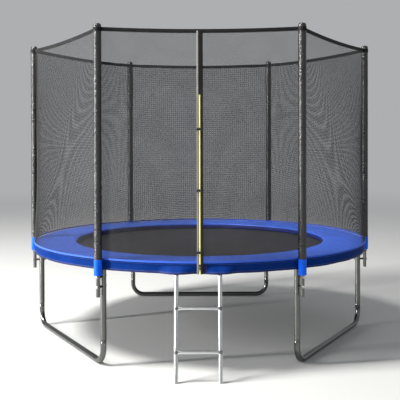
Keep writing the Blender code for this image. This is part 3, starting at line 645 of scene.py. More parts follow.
half_step = pi / 6
for i, (leg, angle) in enumerate(zip(LEG_NAMES, LEG_ANGLES)):
    # ring segment: full tube, then the swaged end inside the next one
    lap = 0.046 / RING_R
    rows = [(angle - half_step + 0.0004, TUBE_R - 0.0006), (angle - half_step + 0.0009, TUBE_R)]
    rows += [(a, TUBE_R) for a in np.linspace(angle - half_step + 0.01, angle + half_step - 0.006, 60)]
    rows += [(angle + half_step - 0.0016, TUBE_R), (angle + half_step - 0.0004, TUBE_R - 0.0011), (angle + half_step + 0.0004, 0.0168)]
    rows += [(a, 0.0168) for a in np.linspace(angle + half_step + 0.003, angle + half_step + lap, 8)]
    path = [polar(RING_R, a, RING_Z) for a, _ in rows]
    radii = np.array([r for _, r in rows])
    piece = Piece(f"ring_tube_{leg}", GALV)
    v, f, u = hollow(path, radii, np.minimum(radii - 0.0015, 0.0174), 28)
    piece.add(v, f, 0, u)
    ring_tube = tidy(piece.build())
    cutter = Piece("slot_cutter")
    for k in range(SPRINGS):
        a = (k + 0.5) * 2 * pi / SPRINGS
        if abs((a - angle + pi) % (2 * pi) - pi) < half_step:
            n = 16
            t = 2 * pi * np.arange(n) / n
            prof = np.stack([np.cos(t) * 0.0032, np.sin(t) * 0.0032 + np.sign(np.sin(t)) * 0.0040], -1)
            block = np.concatenate([np.stack([np.full(n, x), prof[:, 0], prof[:, 1] + 0.0015], -1) for x in (1.170, 1.1905)])
            faces = [tuple(f) for f in grid_faces(2, n, close_cols=True)] + [tuple(range(n))[::-1], tuple(range(n, 2 * n))]
            cutter.add(turned(block + np.array([0, 0, RING_Z]), a), faces)
    cut = tidy(cutter.build(smooth=False))
    modifier = ring_tube.modifiers.new("slots", "BOOLEAN")
    modifier.object, modifier.operation, modifier.solver = cut, "DIFFERENCE", "MANIFOLD"
    bpy.context.view_layer.update()
    mesh = bpy.data.meshes.new_from_object(ring_tube.evaluated_get(bpy.context.evaluated_depsgraph_get()))
    ring_tube.modifiers.clear()
    ring_tube.data = mesh
    mesh.shade_smooth()
    mesh.set_sharp_from_angle(angle=radians(32))
    bpy.data.objects.remove(cut)
    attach(ring_tube, "frame")

    # leg stub with its weld
    stub = tube(f"leg_stub_{leg}", [(0.5325, 0.0168), (0.6045, 0.0168)], 0.0015, polar(RING_R, angle)[:2], GALV, 24)
    stub.materials.append(WELD)
    t = np.linspace(0, 2 * pi, 84, endpoint=False)
    x, y = 0.0172 * np.cos(t), 0.0172 * np.sin(t)
    z = RING_Z - np.sqrt(np.maximum(TUBE_R ** 2 - x ** 2, 0)) - 0.0002
    v, f, u = bead(turned(np.stack([RING_R + x, y, z], -1), angle), 0.0013, 50 + i)
    stub.add(v, f, 1, u)
    stub = tidy(stub.build("frame"))
    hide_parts(f"ring_segment_{leg}")

    # upright
    upright = tidy(tube(f"leg_tube_{leg}", [(JOINT_Z + 0.0006, TUBE_R + 0.0004), (JOINT_Z + 0.0040, TUBE_R + 0.0003), (JOINT_Z + 0.0070, TUBE_R), (0.6013, TUBE_R)], 0.0015, polar(RING_R, angle)[:2], GALV, 32).build("frame"))
    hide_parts(f"leg_upright_{leg}")

    # enclosure pole in two lengths, the upper one over the swaged lower one, inside the sleeve
    at = polar(POLE_AT, angle)[:2]
    pole = tube(f"pole_tube_{leg}", [(POLE_LOW, POLE_R), (1.262, POLE_R), (1.2635, 0.0111), (1.306, 0.0111)], 0.0012, at, GALV, 28)
    v, f, u = hollow([(*at, z) for z in (1.2640, 1.2645, 2.0955, POLE_HIGH)], np.array([POLE_R - 0.0005, POLE_R, POLE_R, POLE_R - 0.0005]), 0.0112, 28)
    pole.add(v, f, 0, u)
    pole = tidy(pole.build("frame"))
    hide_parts(f"enclosure_pole_{leg}")

for name, between in (("left", 210), ("right", 330), ("back", 90)):
    angle = radians(between)
    half, axis_z, r = RING_R * sin(pi / 6), 0.0187, 0.0187
    bend = np.linspace(0, pi / 2, 22)
    side = [(half, z, 0.0168) for z in (0.219, 0.2184, 0.200, JOINT_Z + 0.0006)] + [(half, JOINT_Z - 0.0006, 0.0172), (half, JOINT_Z - 0.0016, r - 0.0001), (half, 0.1490, r), (half, 0.1478, r + 0.0006), (half, 0.1464, r + 0.0009), (half, 0.1450, r + 0.0006), (half, 0.1438, r)]
    # the swage's own shoulder, and the bend
    side += [(half - BASE_BEND * (1 - cos(a)), axis_z + BASE_BEND * (1 - sin(a)), r) for a in bend]
    side += [(x, axis_z, r) for x in np.linspace(half - BASE_BEND - 0.02, 0.02, 10)]
    rows = [(-x, z, q) for x, z, q in side] + [(x, z, q) for x, z, q in reversed(side)]
    radii = np.array([q for _, _, q in rows])
    radii[0] -= 0.0006
    radii[-1] -= 0.0006
    piece = Piece(f"base_tube_{name}", GALV)
    path = np.array([(x, 0, z) for x, z, _ in rows])
    v, f, u = hollow(path, radii, np.minimum(radii - 0.0015, 0.0172), 32)
    mid = polar(RING_R * cos(pi / 6), angle)
    piece.add(placed(v, mid, (-sin(angle), cos(angle), 0)), f, 0, u)
    base = tidy(piece.build("frame"))
    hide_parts(f"leg_base_{name}")


# ------------------------------------------------------------------ pole bolts
def hexagon(radius, x0, x1, bore, chamfer=0.0008):
    """A nut along X with chamfered corners."""
    n = 24
    t = 2 * pi * np.arange(n) / n
    corner = np.cos((t % (pi / 3)) - pi / 6)
    hexr = radius * cos(pi / 6) / corner
    roundr = np.full(n, radius * 0.93)
    rings = [(x0, np.full(n, bore)), (x0, np.minimum(hexr, roundr)), (x0 + chamfer, hexr), (x1 - chamfer, hexr), (x1, np.minimum(hexr, roundr)), (x1, np.full(n, bore))]
    verts = np.concatenate([np.stack([np.full(n, x), r * np.cos(t), r * np.sin(t)], -1) for x, r in rings])
    return verts, [tuple(f) for f in grid_faces(len(rings), n, close_rows=True, close_cols=True)]


def bolt_parts():
    """(vertices, faces, material) groups along +X from the leg's axis: nut and thread inside, spacer between, domed head outside."""
    pole_x = POLE_AT - RING_R
    groups = []
    n = 40
    t = 2 * pi * np.arange(n) / n
    y0 = np.sign(np.cos(t)) * np.abs(np.cos(t)) ** 0.75
    z0 = np.sign(np.sin(t)) * np.abs(np.sin(t)) ** 0.75
    rows = []
    for share, k in ((0, 0.36), (0, 0.70), (0, 0.97), (0.03, 1.0), (0.16, 1.0), (0.24, 0.94), (0.76, 0.94), (0.84, 1.0), (0.97, 1.0), (1, 0.97), (1, 0.70), (1, 0.40)):
        wide = (0.0122 + (0.0098 - 0.0122) * share) * k
        yy, zz = y0 * wide, z0 * 0.0070 * k
        near_leg = np.sqrt(TUBE_R ** 2 - yy ** 2) + 0.0002
        near_pole = pole_x - np.sqrt(POLE_R ** 2 - yy ** 2) - 0.0002
        rows.append(np.stack([near_leg + (near_pole - near_leg) * share, yy, zz], -1))
    groups.append((np.concatenate(rows), [tuple(f) for f in grid_faces(len(rows), n, close_rows=True, close_cols=True)], 1))
    head_x = pole_x + POLE_R
    v, f, _ = lathe([(0, head_x + 0.0062), (0.0032, head_x + 0.0058), (0.0056, head_x + 0.0044), (0.0070, head_x + 0.0022), (0.0072, head_x + 0.0014), (0.0068, head_x + 0.0012),
                     (0.0082, head_x + 0.0011), (0.0084, head_x + 0.0006), (0.0082, head_x + 0.0001), (0.0040, head_x + 0.0001), (0.0037, -TUBE_R - 0.0102), (0.0031, -TUBE_R - 0.0110), (0, -TUBE_R - 0.0110)], 28, axis="X")
    groups.append((v, f, 0))
    v, f, _ = lathe([(0.0041, -TUBE_R - 0.0001), (0.0083, -TUBE_R - 0.0001), (0.0085, -TUBE_R - 0.0006), (0.0083, -TUBE_R - 0.0011), (0.0041, -TUBE_R - 0.0011)], 28, axis="X", closed=True)
    groups.append((v, f, 0))
    v, f = hexagon(0.0075, -TUBE_R - 0.0078, -TUBE_R - 0.0012, 0.0038)
    groups.append((v, f, 0))
    return groups


BOLT = bolt_parts()
for leg, angle in zip(LEG_NAMES, LEG_ANGLES):
    for place, height in zip(("lower", "upper"), BOLT_HEIGHTS):
        piece = Piece(f"bolt_{leg}_{place}", ZINC, RUBBER)
        spin = 0.35 * sin(7 * angle + 3 * height)
        for v, f, m in BOLT:
            if m == 0:
                c, s = cos(spin), sin(spin)
                v = np.stack([v[:, 0], c * v[:, 1] - s * v[:, 2], s * v[:, 1] + c * v[:, 2]], -1)
            piece.add(placed(v, polar(RING_R, angle, height), polar(1, angle)), f, m)
        obj = tidy(piece.build("frame", sharp=30))
        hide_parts(f"pole_bolt_{leg}_{place}")


# ------------------------------------------------------------------ padded sleeves
def sleeve_radius(z, t, seed):
    """Radius of the cover at height z and angle t: foam under thin cloth, with cross wrinkles that fade round the tube."""
    g = np.random.default_rng(seed)
    r = 0.0247 + 0.00025 * ripple(z, seed, 5, 6, 22) + 0.00015 * np.sin(2 * t + 9 * z + seed)
    at = 0.69
    while at < 2.10:
        at += g.uniform(0.011, 0.034)
        centre, spread = g.uniform(0, 2 * pi), g.uniform(0.7, 1.9)
        slant, depth, width = g.uniform(-0.0035, 0.0035), g.uniform(0.0006, 0.0019), g.uniform(0.0020, 0.0040)
        d = (t - centre + pi) % (2 * pi) - pi
        x = (z - at - slant * d) / width
        r = r + depth * np.exp(-(d / spread) ** 2) * (0.8 * np.exp(-(x - 1.3) ** 2) - np.exp(-x ** 2))
    seam = (t + pi) % (2 * pi) - pi
    r = r + 0.0009 * np.exp(-((seam - 0.10) / 0.06) ** 2) - 0.0006 * np.exp(-((seam + 0.06) / 0.07) ** 2)
    return r


for i, (leg, angle) in enumerate(zip(LEG_NAMES, LEG_ANGLES)):
    axis = polar(POLE_AT, angle)
    n = 48
    t = 2 * pi * np.arange(n) / n
    zs = np.concatenate([np.arange(0.6620, 2.0955, 0.0036), [2.0975]])
    Z, T = np.meshgrid(zs, t, indexing="ij")
    R = sleeve_radius(Z, T, 100 + i)
    rings = [(R, Z)]
    # gathered dome over the pole's end
    dome = [(0.0246, 2.1010), (0.0236, 2.1055), (0.0214, 2.1100), (0.0180, 2.1135), (0.0136, 2.1155), (0.0086, 2.1164), (0.0040, 2.1160), (0.0012, 2.1152)]
    for r, z in dome:
        g = 1 + 0.035 * np.sin(14 * t + i) * (r > 0.002)
        rings.append(((r * g)[None], np.full((1, n), z)))
    # turned-in lower edge, down the bore
    low = [(0.0215, 0.6625), (0.0232, 0.6612), (0.0243, 0.6612)]
    R = np.concatenate([np.full((1, n), r) for r, z in low] + [r for r, _ in rings])
    Z = np.concatenate([np.full((1, n), z) for r, z in low] + [z for _, z in rings])
    verts = np.stack([R * np.cos(t)[None], R * np.sin(t)[None], Z], -1).reshape(-1, 3)
    uv = np.stack([np.broadcast_to(T[:1] * 0.025, R.shape), Z], -1).reshape(-1, 2)
    piece = Piece(f"sleeve_cover_{leg}", SLEEVE)
    faces = [tuple(f) for f in grid_faces(len(R), n, close_cols=True)] + [tuple((len(R) - 1) * n + k for k in range(n)), tuple(range(n))[::-1]]
    piece.add(placed(verts, axis, polar(-1, angle)), faces, 0, uv)
    cover = tidy(piece.build("frame", sharp=0))
    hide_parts(f"pole_sleeve_{leg}")

    # stitched seam down the inner side
    seam = Piece(f"sleeve_stitches_{leg}", STITCH_BLACK)
    for k, z in enumerate(np.arange(0.678, 2.090, 0.0052)):
        a = 0.19
        r = float(sleeve_radius(np.array(z), np.array(a), 100 + i)) + 0.00012
        p = [(r * cos(a), r * sin(a), z), (r * cos(a) + 0.0001, r * sin(a) + 0.0001, z + 0.0016), (r * cos(a), r * sin(a), z + 0.0032)]
        v, f, u = sweep(p, 0.00028, 4)
        seam.add(placed(v, axis, polar(-1, angle)), f, 0, u)
    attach(seam.build(smooth=False), "frame")

    # foam tube that shows at the mouth, and the blue cuff with its bindings
    foam = Piece(f"sleeve_foam_{leg}", FOAM)
    v, f, u = lathe([(0.0132, 0.5755), (0.0180, 0.5748), (0.0225, 0.5755), (0.0232, 0.578), (0.0232, 0.6590), (0.0132, 0.6590)], 40, axis, closed=True)
    foam.add(v, f, 0, u)
    foam = foam.build("frame")
    cuff = Piece(f"sleeve_cuff_{leg}", CUFF, CUFF_EDGE)
    zs = np.concatenate([[0.5745, 0.5728, 0.5720, 0.5728, 0.5745], np.arange(0.5765, 0.6655, 0.0028), [0.6668, 0.6684, 0.6690, 0.6684, 0.6668]])
    base = np.concatenate([[0.0236, 0.0239, 0.0247, 0.0254, 0.0257], np.full(len(np.arange(0.5765, 0.6655, 0.0028)), 0.0256), [0.0259, 0.0258, 0.0253, 0.0249, 0.0249]])
    Z, T = np.meshgrid(zs, t, indexing="ij")
    hem_low, hem_high = np.exp(-((Z - 0.5865) / 0.0018) ** 2), np.exp(-((Z - 0.6560) / 0.0018) ** 2)
    fold = 0.00045 * np.exp(-((Z - 0.62) / 0.03) ** 2) * (ripple(Z * 40 + 2 * np.sin(T + i), 400 + i) + 0.8 * np.sin(3 * T + 30 * Z + i))
    R = base[:, None] + fold - 0.0007 * hem_low - 0.0007 * hem_high
    R = np.where((Z > 0.5745) & (Z < 0.6668), R, base[:, None])
    verts = np.stack([R * np.cos(T), R * np.sin(T), Z], -1).reshape(-1, 3)
    uv = np.stack([T * 0.025, Z], -1).reshape(-1, 2)
    rows = len(zs)
    cuff.add(placed(verts, axis, polar(-1, angle)), [tuple(f) for f in grid_faces(rows, n, close_rows=True, close_cols=True)], 0, uv)
    obj = tidy(cuff.build("frame", sharp=0))
    stitches = Piece(f"cuff_stitches_{leg}", STITCH)
    for z in (0.5865, 0.6560):
        for k in range(44):
            a0, a1 = 2 * pi * k / 44, 2 * pi * (k + 0.62) / 44
            p = [(0.02535 * cos(a), 0.02535 * sin(a), z) for a in (a0, (a0 + a1) / 2, a1)]
            v, f, u = sweep(p, 0.00026, 4)
            stitches.add(v + axis, f, 0, u)
    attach(stitches.build(smooth=False), "frame")


# ------------------------------------------------------------------ mat
def disc_grid(radii, count):
    a = 2 * pi * np.arange(count) / count
    R, A = np.meshgrid(radii, a, indexing="ij")
    return R, A


def mat_height(r, a=0.0):
    """The mat hangs a few millimetres at its middle."""
    return MAT_Z - 0.004 * (1 - (r / MAT_R) ** 2)


count = 384
radii = np.concatenate([[0.006], np.linspace(0.03, 0.957, 46), [0.9600, 0.9613]])
hem = np.linspace(0.9625, 0.9975, 14)
edge = [(0.9988, 0.0022), (0.9996, 0.0012), (1.0000, 0.0), (0.9996, -0.0012), (0.9988, -0.0022)]
rings, uvs = [], []
R, A = disc_grid(radii, count)
wrinkle = 0.0004 * ripple(6 * A + 4 * R, 31, period=None) * 0
top = mat_height(R) + 0.0012
rings += [np.stack([R * np.cos(A), R * np.sin(A), top], -1)]
R, A = disc_grid(hem, count)
rings += [np.stack([R * np.cos(A), R * np.sin(A), mat_height(R) + 0.0021 + 0.0003 * np.sin(48 * A)], -1)]
for r, dz in edge:
    R, A = disc_grid([r], count)
    rings += [np.stack([R * np.cos(A), R * np.sin(A), mat_height(R) + dz], -1)]
R, A = disc_grid(hem[::-1], count)
rings += [np.stack([R * np.cos(A), R * np.sin(A), mat_height(R) - 0.0021], -1)]
R, A = disc_grid(radii[::-1], count)
rings += [np.stack([R * np.cos(A), R * np.sin(A), mat_height(R) - 0.0012], -1)]
verts = np.concatenate([r.reshape(-1, 3) for r in rings])
rows = len(verts) // count
piece = Piece("mat_cloth", MAT_WEAVE)
piece.add(verts, [tuple(f) for f in grid_faces(rows, count, close_cols=True)] + [tuple(range(count))[::-1], tuple((rows - 1) * count + k for k in range(count))], 0, verts[:, :2])
mat_cloth = tidy(piece.build("mat", sharp=60))
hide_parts("jump_mat")


def dashes(name, material, curve, length, dash=0.0034, gap=0.0020, radius=0.00035, body=None, lift=(0, 0, 0.0003)):
    """Rows of stitches: curve(t) gives points for t from 0 to 1, and length is the curve's own."""
    piece = Piece(name, material)
    n = max(1, int(length / (dash + gap)))
    t0 = np.arange(n) / n
    ends = np.stack([curve(t0), curve(t0 + dash / (dash + gap) / n)], 1)
    mids = ends.mean(1)
    along = ends[:, 1] - ends[:, 0]
    along /= np.linalg.norm(along, axis=1)[:, None] + 1e-12
    up = np.broadcast_to(np.asarray(lift, float), mids.shape)
    unit = up / (np.linalg.norm(up, axis=1)[:, None] + 1e-12)
    across = np.cross(along, unit)
    pts = []
    for p, k in ((ends[:, 0], 0.0), (mids, 1.0), (ends[:, 1], 0.0)):
        base = p + up * k
        pts += [base - across * radius, base + unit * radius, base + across * radius, base - unit * radius]
    verts = np.stack(pts, 1).reshape(-1, 3)
    one = [tuple(f) for f in grid_faces(3, 4, close_cols=True)] + [(3, 2, 1, 0), (8, 9, 10, 11)]
    faces = [tuple(i + 12 * k for i in f) for k in range(n) for f in one]
    piece.add(verts, faces)
    obj = piece.build(body, smooth=False)
    return obj


for k, r in enumerate((0.9645, 0.9935)):
    dashes(f"mat_hem_stitches_{k}", STITCH_BLACK, lambda t, r=r: np.stack([r * np.cos(2 * pi * t), r * np.sin(2 * pi * t), mat_height(r) + 0.0024 + 0.0003 * np.sin(48 * 2 * pi * t)], -1), 2 * pi * r, body="mat")

# tabs round the V-rings, 48 in one piece, and the rings themselves
tabs, vrings, tab_stitch = Piece("mat_tabs", WEBBING), Piece("mat_v_rings", ZINC), Piece("mat_tab_stitches", STITCH_BLACK)
V_BASE, V_APEX, V_WIRE = 1.0046, 1.0278, 0.0019
for k in range(SPRINGS):
    a = (k + 0.5) * 2 * pi / SPRINGS
    over = np.linspace(pi / 2, -pi / 2, 13)
    loop = [(0.9685, 0.0030), (0.9800, 0.0032), (0.9920, 0.0032)] + [(V_BASE - 0.0005 + 0.0030 * cos(x), 0.0030 * sin(x)) for x in over] + [(0.9920, -0.0032), (0.9800, -0.0032), (0.9685, -0.0030)]
    path = np.array([(r, 0, MAT_Z + z) for r, z in loop])
    v, f, u = strip(path, (0, 1, 0), 0.0105, 0.0007)
    tabs.add(turned(v, a), f, 0, u)
    # V-ring: rounded triangle of wire, its base in the tab
    corner = []
    for cx, cy, r0, a0, a1 in ((V_BASE + 0.0010, 0.0118, 0.0026, 250, 180), (V_BASE + 0.0010, -0.0118, 0.0026, 180, 110), (V_APEX - 0.0030, 0, 0.0030, 62, -62)):
        pass
    t = np.linspace(0, 1, 48, endpoint=False)
    tri = np.array([(V_BASE, 0.0135), (V_BASE, -0.0135), (V_APEX + 0.0016, 0.0)])
    pts = []
    for j in range(3):
        p, q = tri[j], tri[(j + 1) % 3]
        prev = tri[j - 1]
        d0, d1 = (prev - p) / np.linalg.norm(prev - p), (q - p) / np.linalg.norm(q - p)
        cut = 0.0036
        for s in np.linspace(0, 1, 7):
            pts.append((1 - s) ** 2 * (p + d0 * cut) + 2 * s * (1 - s) * p + s * s * (p + d1 * cut))
    ring = np.array([(x, y, MAT_Z) for x, y in pts])
    v, f, u = sweep(ring, V_WIRE, 10, closed=True)
    vrings.add(turned(v, a), f, 0, u)
    for side in (-1, 1):
        for q in np.linspace(-0.0085, 0.0085, 6):
            x = 0.9735 if side < 0 else 0.9855
            v, f, u = sweep([(x, q - 0.0012, MAT_Z + 0.0039), (x, q, MAT_Z + 0.0042), (x, q + 0.0012, MAT_Z + 0.0039)], 0.0003, 4)
            tab_stitch.add(turned(v, a), f, 0, u)
tab_obj = tabs.build("mat", sharp=50)
vring_obj = vrings.build("mat")
tab_stitch.build("mat", smooth=False)


# ------------------------------------------------------------------ springs
def spring_path():
    """The wire's centreline along +X: hook round the V-ring's apex, coil, hook into the ring's slot."""
    wire, coil = 0.0014, 0.0084
    start, end, turns, per = 1.0385, 1.1545, 34, 11
    pts = []
    # inner hook: from under the V-ring's apex, round it, out along the axis
    centre = np.array([V_APEX - 0.0012, 0.0, 0.0])
    for q in np.linspace(radians(-35), radians(180 + 60), 15)[::-1]:
        pts.append((centre[0] - 0.0012 - 0.0048 * cos(q - pi / 2) * 0 + 0.0050 * cos(q), 0, 0.0050 * sin(q)))
    pts = []
    for q in np.radians(np.linspace(305, 90, 16)):
        pts.append((centre[0] + 0.0046 * cos(q) + 0.0002, 0.0, 0.0046 * sin(q)))
    last = pts[-1]
    pts += [(last[0] + 0.0030, 0.0, 0.0050), (start - 0.0022, 0.0015, 0.0068)]
    total = turns * per
    k = np.arange(total + 1)
    # the coil starts and ends at its top
    ang = 2 * pi * k / per
    ease = np.clip(np.minimum(k, total - k) / per, 0, 1)
    rad = coil - 0.0008 * (1 - ease)
    x = start + (end - start) * k / total
    coil_pts = np.stack([x, rad * np.sin(ang), rad * np.cos(ang)], -1)
    out = [(end + 0.0026, -0.0006, 0.0072), (end + 0.0060, 0.0, 0.0042), (end + 0.0100, 0.0, 0.0018), (1.1750, 0.0, 0.0012), (1.1830, 0.0, 0.0012), (1.1862, 0.0, 0.0002), (1.1876, 0.0, -0.0024), (1.1876, 0.0, -0.0062), (1.1872, 0.0, -0.0095)]
    return np.concatenate([np.array(pts), coil_pts, np.array(out)]), wire


path, wire = spring_path()
SPRING_V, SPRING_F, SPRING_U = sweep(path + np.array([0, 0, RING_Z]), wire, 6)
for k in range(SPRINGS):
    a = (k + 0.5) * 2 * pi / SPRINGS
    flip = 1 if k % 2 else -1
    piece = Piece(f"spring_{k:02d}", SPRING_WIRE)
    piece.add(turned(SPRING_V, a), SPRING_F, 0, SPRING_U)
    obj = piece.build(sharp=0)
    p, q = polar(1.156, a, RING_Z), polar(1.036, a, RING_Z)
    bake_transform(obj)
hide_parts("spring_set")


# ------------------------------------------------------------------ pad
PAD_COUNT = 1440
SEAMS = [radians(x) for x in (0.5, 45.5, 90.5, 135.5, 180.5, 225.5, 273.5, 315.5)]


def near(a, at, width):
    d = (a - at + pi) % (2 * pi) - pi
    return np.exp(-(d / width) ** 2)


def pad_section(a):
    """(r, z) of the pad's closed section at each angle of a, as two arrays of sections x angles."""
    fold = sum(near(a, s, 0.0042) for s in SEAMS)
    slack = sum(near(a, s, 0.055) for s in SEAMS)
    wave = ripple(a, 11, 7, 5, 26, 2 * pi)
    fine = ripple(a, 12, 9, 40, 120, 2 * pi)
    inner = PAD_IN + 0.0035 * wave + 0.0008 * fine * (0.4 + slack) + 0.0015 * fold
    rows_r, rows_z = [], []
    across = np.linspace(0, 1, 27)
    top_z, low_z = PAD_Z1 + 0.0028, PAD_Z0 + 0.0004
    # from the inner lower corner round the inner edge, over the top, down the outer edge and back under
    for q in np.linspace(-pi / 2, pi / 2, 9):
        r = inner + 0.0062 * (1 - cos(q))
        z = (top_z + low_z) / 2 - 0.0012 + (top_z - low_z) / 2 * 0.80 * sin(q)
        rows_r.append(inner - 0.0 + 0.0062 * (1 - cos(q)))
        rows_z.append(np.full_like(a, z) - 0.0030 * fold * (sin(q) > 0))
    for s in across[1:-1]:
        r = inner + 0.0062 + (PAD_OUT - 0.0048 - inner - 0.0062) * s
        crown = 0.0022 * sin(pi * s) ** 0.6
        soft = (0.0007 * ripple(a + 0.7 * s, 21, 7, 20, 70, 2 * pi) * (0.35 + slack) + 0.0010 * ripple(a * 1.0 + 0.2 * s, 22, 5, 6, 18, 2 * pi)) * sin(pi * s) ** 0.5
        pucker = -0.0042 * fold * sin(pi * min(1, max(0, s * 1.02))) ** 0.25
        stitched = -0.0016 * exp(-((s - 0.055) / 0.016) ** 2) - 0.0012 * exp(-((s - 0.955) / 0.014) ** 2)
        rows_r.append(r)
        rows_z.append(top_z - 0.0022 + crown + soft + pucker + stitched)
    for q in np.linspace(pi / 2, -pi / 2, 7):
        rows_r.append(np.full_like(a, PAD_OUT - 0.0048 + 0.0046 * cos(q)))
        rows_z.append(np.full_like(a, (top_z + low_z) / 2 - 0.0004 + (top_z - 0.0022 - low_z) / 2 * sin(q)))
    for s in across[1:-1][::-2]:
        r = inner + 0.0062 + (PAD_OUT - 0.0048 - inner - 0.0062) * s
        rows_r.append(r)
        rows_z.append(low_z + 0.0004 * ripple(a, 23, 5, 10, 40, 2 * pi) + 0.0006 * fold)
    return np.array(rows_r), np.array(rows_z)


a = 2 * pi * np.arange(PAD_COUNT) / PAD_COUNT
R, Z = pad_section(a)
rows = len(R)
along = np.concatenate([[0], np.cumsum(np.hypot(np.diff(R[:, 0]), np.diff(Z[:, 0])))])
uv = np.stack(np.broadcast_arrays((a * 1.07)[None], along[:, None]), -1).reshape(-1, 2)
verts = np.stack([R * np.cos(a), R * np.sin(a), Z], -1).reshape(-1, 3)
piece = Piece("pad_cover", PAD_BLUE, PAD_UNDER, SKIRT_BLUE_SHADED)
faces = grid_faces(rows, PAD_COUNT, close_rows=True, close_cols=True)
cut = 9 + 25 + 6
top_faces = faces[:cut * PAD_COUNT]
under_faces = faces[cut * PAD_COUNT:]
piece.add(verts, [tuple(f) for f in top_faces], 0, uv)
piece.add(np.zeros((0, 3)), [], 0, np.zeros((0, 2)))
piece.faces += [tuple(int(i) for i in f) for f in under_faces]
piece.index += [1] * len(under_faces)
# the cover's outer roll takes the skirt's darker vinyl: painted shade in place of the roll's highlight
for i in range(34 * PAD_COUNT, 40 * PAD_COUNT):
    piece.index[i] = 2
pad = tidy(piece.build("frame", sharp=0))
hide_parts("spring_pad")


def pad_top(r, a):
    """Height of the pad's top at radius r and angle a."""
    a = np.atleast_1d(np.asarray(a, float))
    R, Z = pad_section(a)
    R, Z = R[8:35], Z[8:35]
    return np.array([np.interp(rr, R[:, i], Z[:, i]) for i, rr in enumerate(np.broadcast_to(r, a.shape))])


for k, r in enumerate((0.9455, 1.2072)):
    t = np.linspace(0, 2 * pi, 721)
    heights = pad_top(r, t)
    dashes(f"pad_stitches_{k}", STITCH, lambda s, r=r, h=heights: np.stack([r * np.cos(2 * pi * s), r * np.sin(2 * pi * s), np.interp((2 * pi * s) % (2 * pi), np.linspace(0, 2 * pi, 721), h) + 0.0003], -1), 2 * pi * r, body="frame")
for k, seam in enumerate(SEAMS):
    for side in (-1, 1):
        at = seam + side * 0.0042
        rr = np.linspace(0.946, 1.212, 120)
        hh = np.array([float(pad_top(r, at)[0]) for r in rr])
        dashes(f"pad_seam_stitches_{k}_{'ab'[side > 0]}", STITCH, lambda s, at=at, rr=rr, hh=hh: np.stack([(0.946 + 0.266 * s) * cos(at), (0.946 + 0.266 * s) * sin(at), np.interp(0.946 + 0.266 * s, rr, hh) + 0.0003], -1), 0.266, body="frame")


# inner flap: the cover's inner edge hangs down over the mat's hem, coloured dark navy as painted shade under the pad's
# inner edge
edges_in = 2 * pi * np.arange(960) / 960
R8, Z8 = pad_section(edges_in)
start = R8[4] + 0.0004
drop = [(0.0, 0.6570), (-0.0006, 0.6520), (-0.0010, 0.6460), (-0.0008, 0.6400), (-0.0004, 0.6340), (0.0002, 0.6300), (0.0008, 0.6276), (0.0013, 0.6268), (0.0019, 0.6276), (0.0022, 0.6300), (0.0022, 0.6340), (0.0014, 0.6400), (0.0009, 0.6460), (0.0011, 0.6520), (0.0016, 0.6570)]
rowsR, rowsZ = [], []
for dr, z in drop:
    share = max(0.0, (0.652 - z) / 0.025)
    rowsR.append(start + dr - 0.0014 + share * (0.0018 * ripple(edges_in, 71, 7, 14, 44, 2 * pi) + 0.0010 * ripple(edges_in, 72, 7, 60, 130, 2 * pi)))
    rowsZ.append(np.full_like(edges_in, z) + share * 0.0007 * (1 + ripple(edges_in, 73, 6, 20, 60, 2 * pi)))
R, Z = np.array(rowsR), np.array(rowsZ)
verts = np.stack([R * np.cos(edges_in), R * np.sin(edges_in), Z], -1).reshape(-1, 3)
uv = np.stack(np.broadcast_arrays((edges_in * PAD_IN)[None], Z), -1).reshape(-1, 2)
piece = Piece("pad_inner_flap", PAD_FLAP_SHADED)
piece.add(verts, [tuple(f) for f in grid_faces(len(drop), 960, close_rows=True, close_cols=True)], 0, uv)
flap = tidy(piece.build("frame", sharp=0), 1e-7)


# ------------------------------------------------------------------ skirt
RAIL_ANGLES = [atan2(-SKIRT_R, LADDER_X + s * RAIL_HALF) for s in (-1, 1)]
HANG_Z = (0.604, 0.616, 0.633, 0.649, 0.6635)
HANG = (1.0, 0.88, 0.5, 0.12, 0.0)


def rail_share(a):
    """1 where the cloth lies over a ladder rail, 0 away from both."""
    total = np.zeros_like(np.asarray(a, float))
    for at in RAIL_ANGLES:
        d = np.abs((a - at + pi) % (2 * pi) - pi)
        total = np.maximum(total, 1 - smoothstep(radians(0.95), radians(5.6), d))
    return total


def height_share(z):
    return np.interp(z, HANG_Z, HANG)


def skirt_radius(z, a):
    down = np.clip((SKIRT_HIGH - z) / (SKIRT_HIGH - SKIRT_LOW), 0, 1)
    rails = rail_share(a) * height_share(z)
    wave = 0.0011 * ripple(a, 61, 7, 12, 40, 2 * pi) + 0.0007 * ripple(a, 62, 8, 60, 150, 2 * pi)
    keep = 1 - 0.8 * sum(near(a, ang, 0.03) for ang in LEG_ANGLES)
    # the cloth pulls tight on both sides of a rail
    pull = sum(near(a, at + s * radians(6.4), radians(1.2)) for at in RAIL_ANGLES for s in (-1, 1))
    seams = sum(near(a, s, 0.0022) for s in SEAMS)
    return SKIRT_R + SKIRT_BULGE * rails + (wave * keep * (1 - rails) + 0.0006) * down ** 1.3 - 0.0006 * pull * down + 0.0006 * seams


edges = np.sort(np.concatenate([np.linspace(0, 2 * pi, 1200, endpoint=False)] + [np.linspace(at - radians(3), at + radians(3), 60) for at in RAIL_ANGLES] + [s + np.array([-0.004, -0.002, 0, 0.002, 0.004]) for s in SEAMS]) % (2 * pi))
edges = edges[np.concatenate([[True], np.diff(edges) > 1e-4])]
n = len(edges)
LOW = SKIRT_LOW + 0.0005
levels = [(0.0, z) for z in (0.6640, 0.6600, 0.6540, 0.6480, 0.6420, 0.6360, 0.6300, 0.6240, 0.6195, 0.6182, 0.6170)]
outer = levels + [(0.0004, z) for z in (0.6160, 0.6120, 0.6080)] + [(0.0003, LOW + 0.0012), (-0.0002, LOW + 0.0003), (-0.0008, LOW)]
inner = [(-0.0014, LOW + 0.0006), (-0.0016, 0.6080), (-0.0016, 0.6160), (-0.0011, 0.6175)] + [(-0.0009, z) for z in (0.6240, 0.6330, 0.6420, 0.6500, 0.6580, 0.6636)]
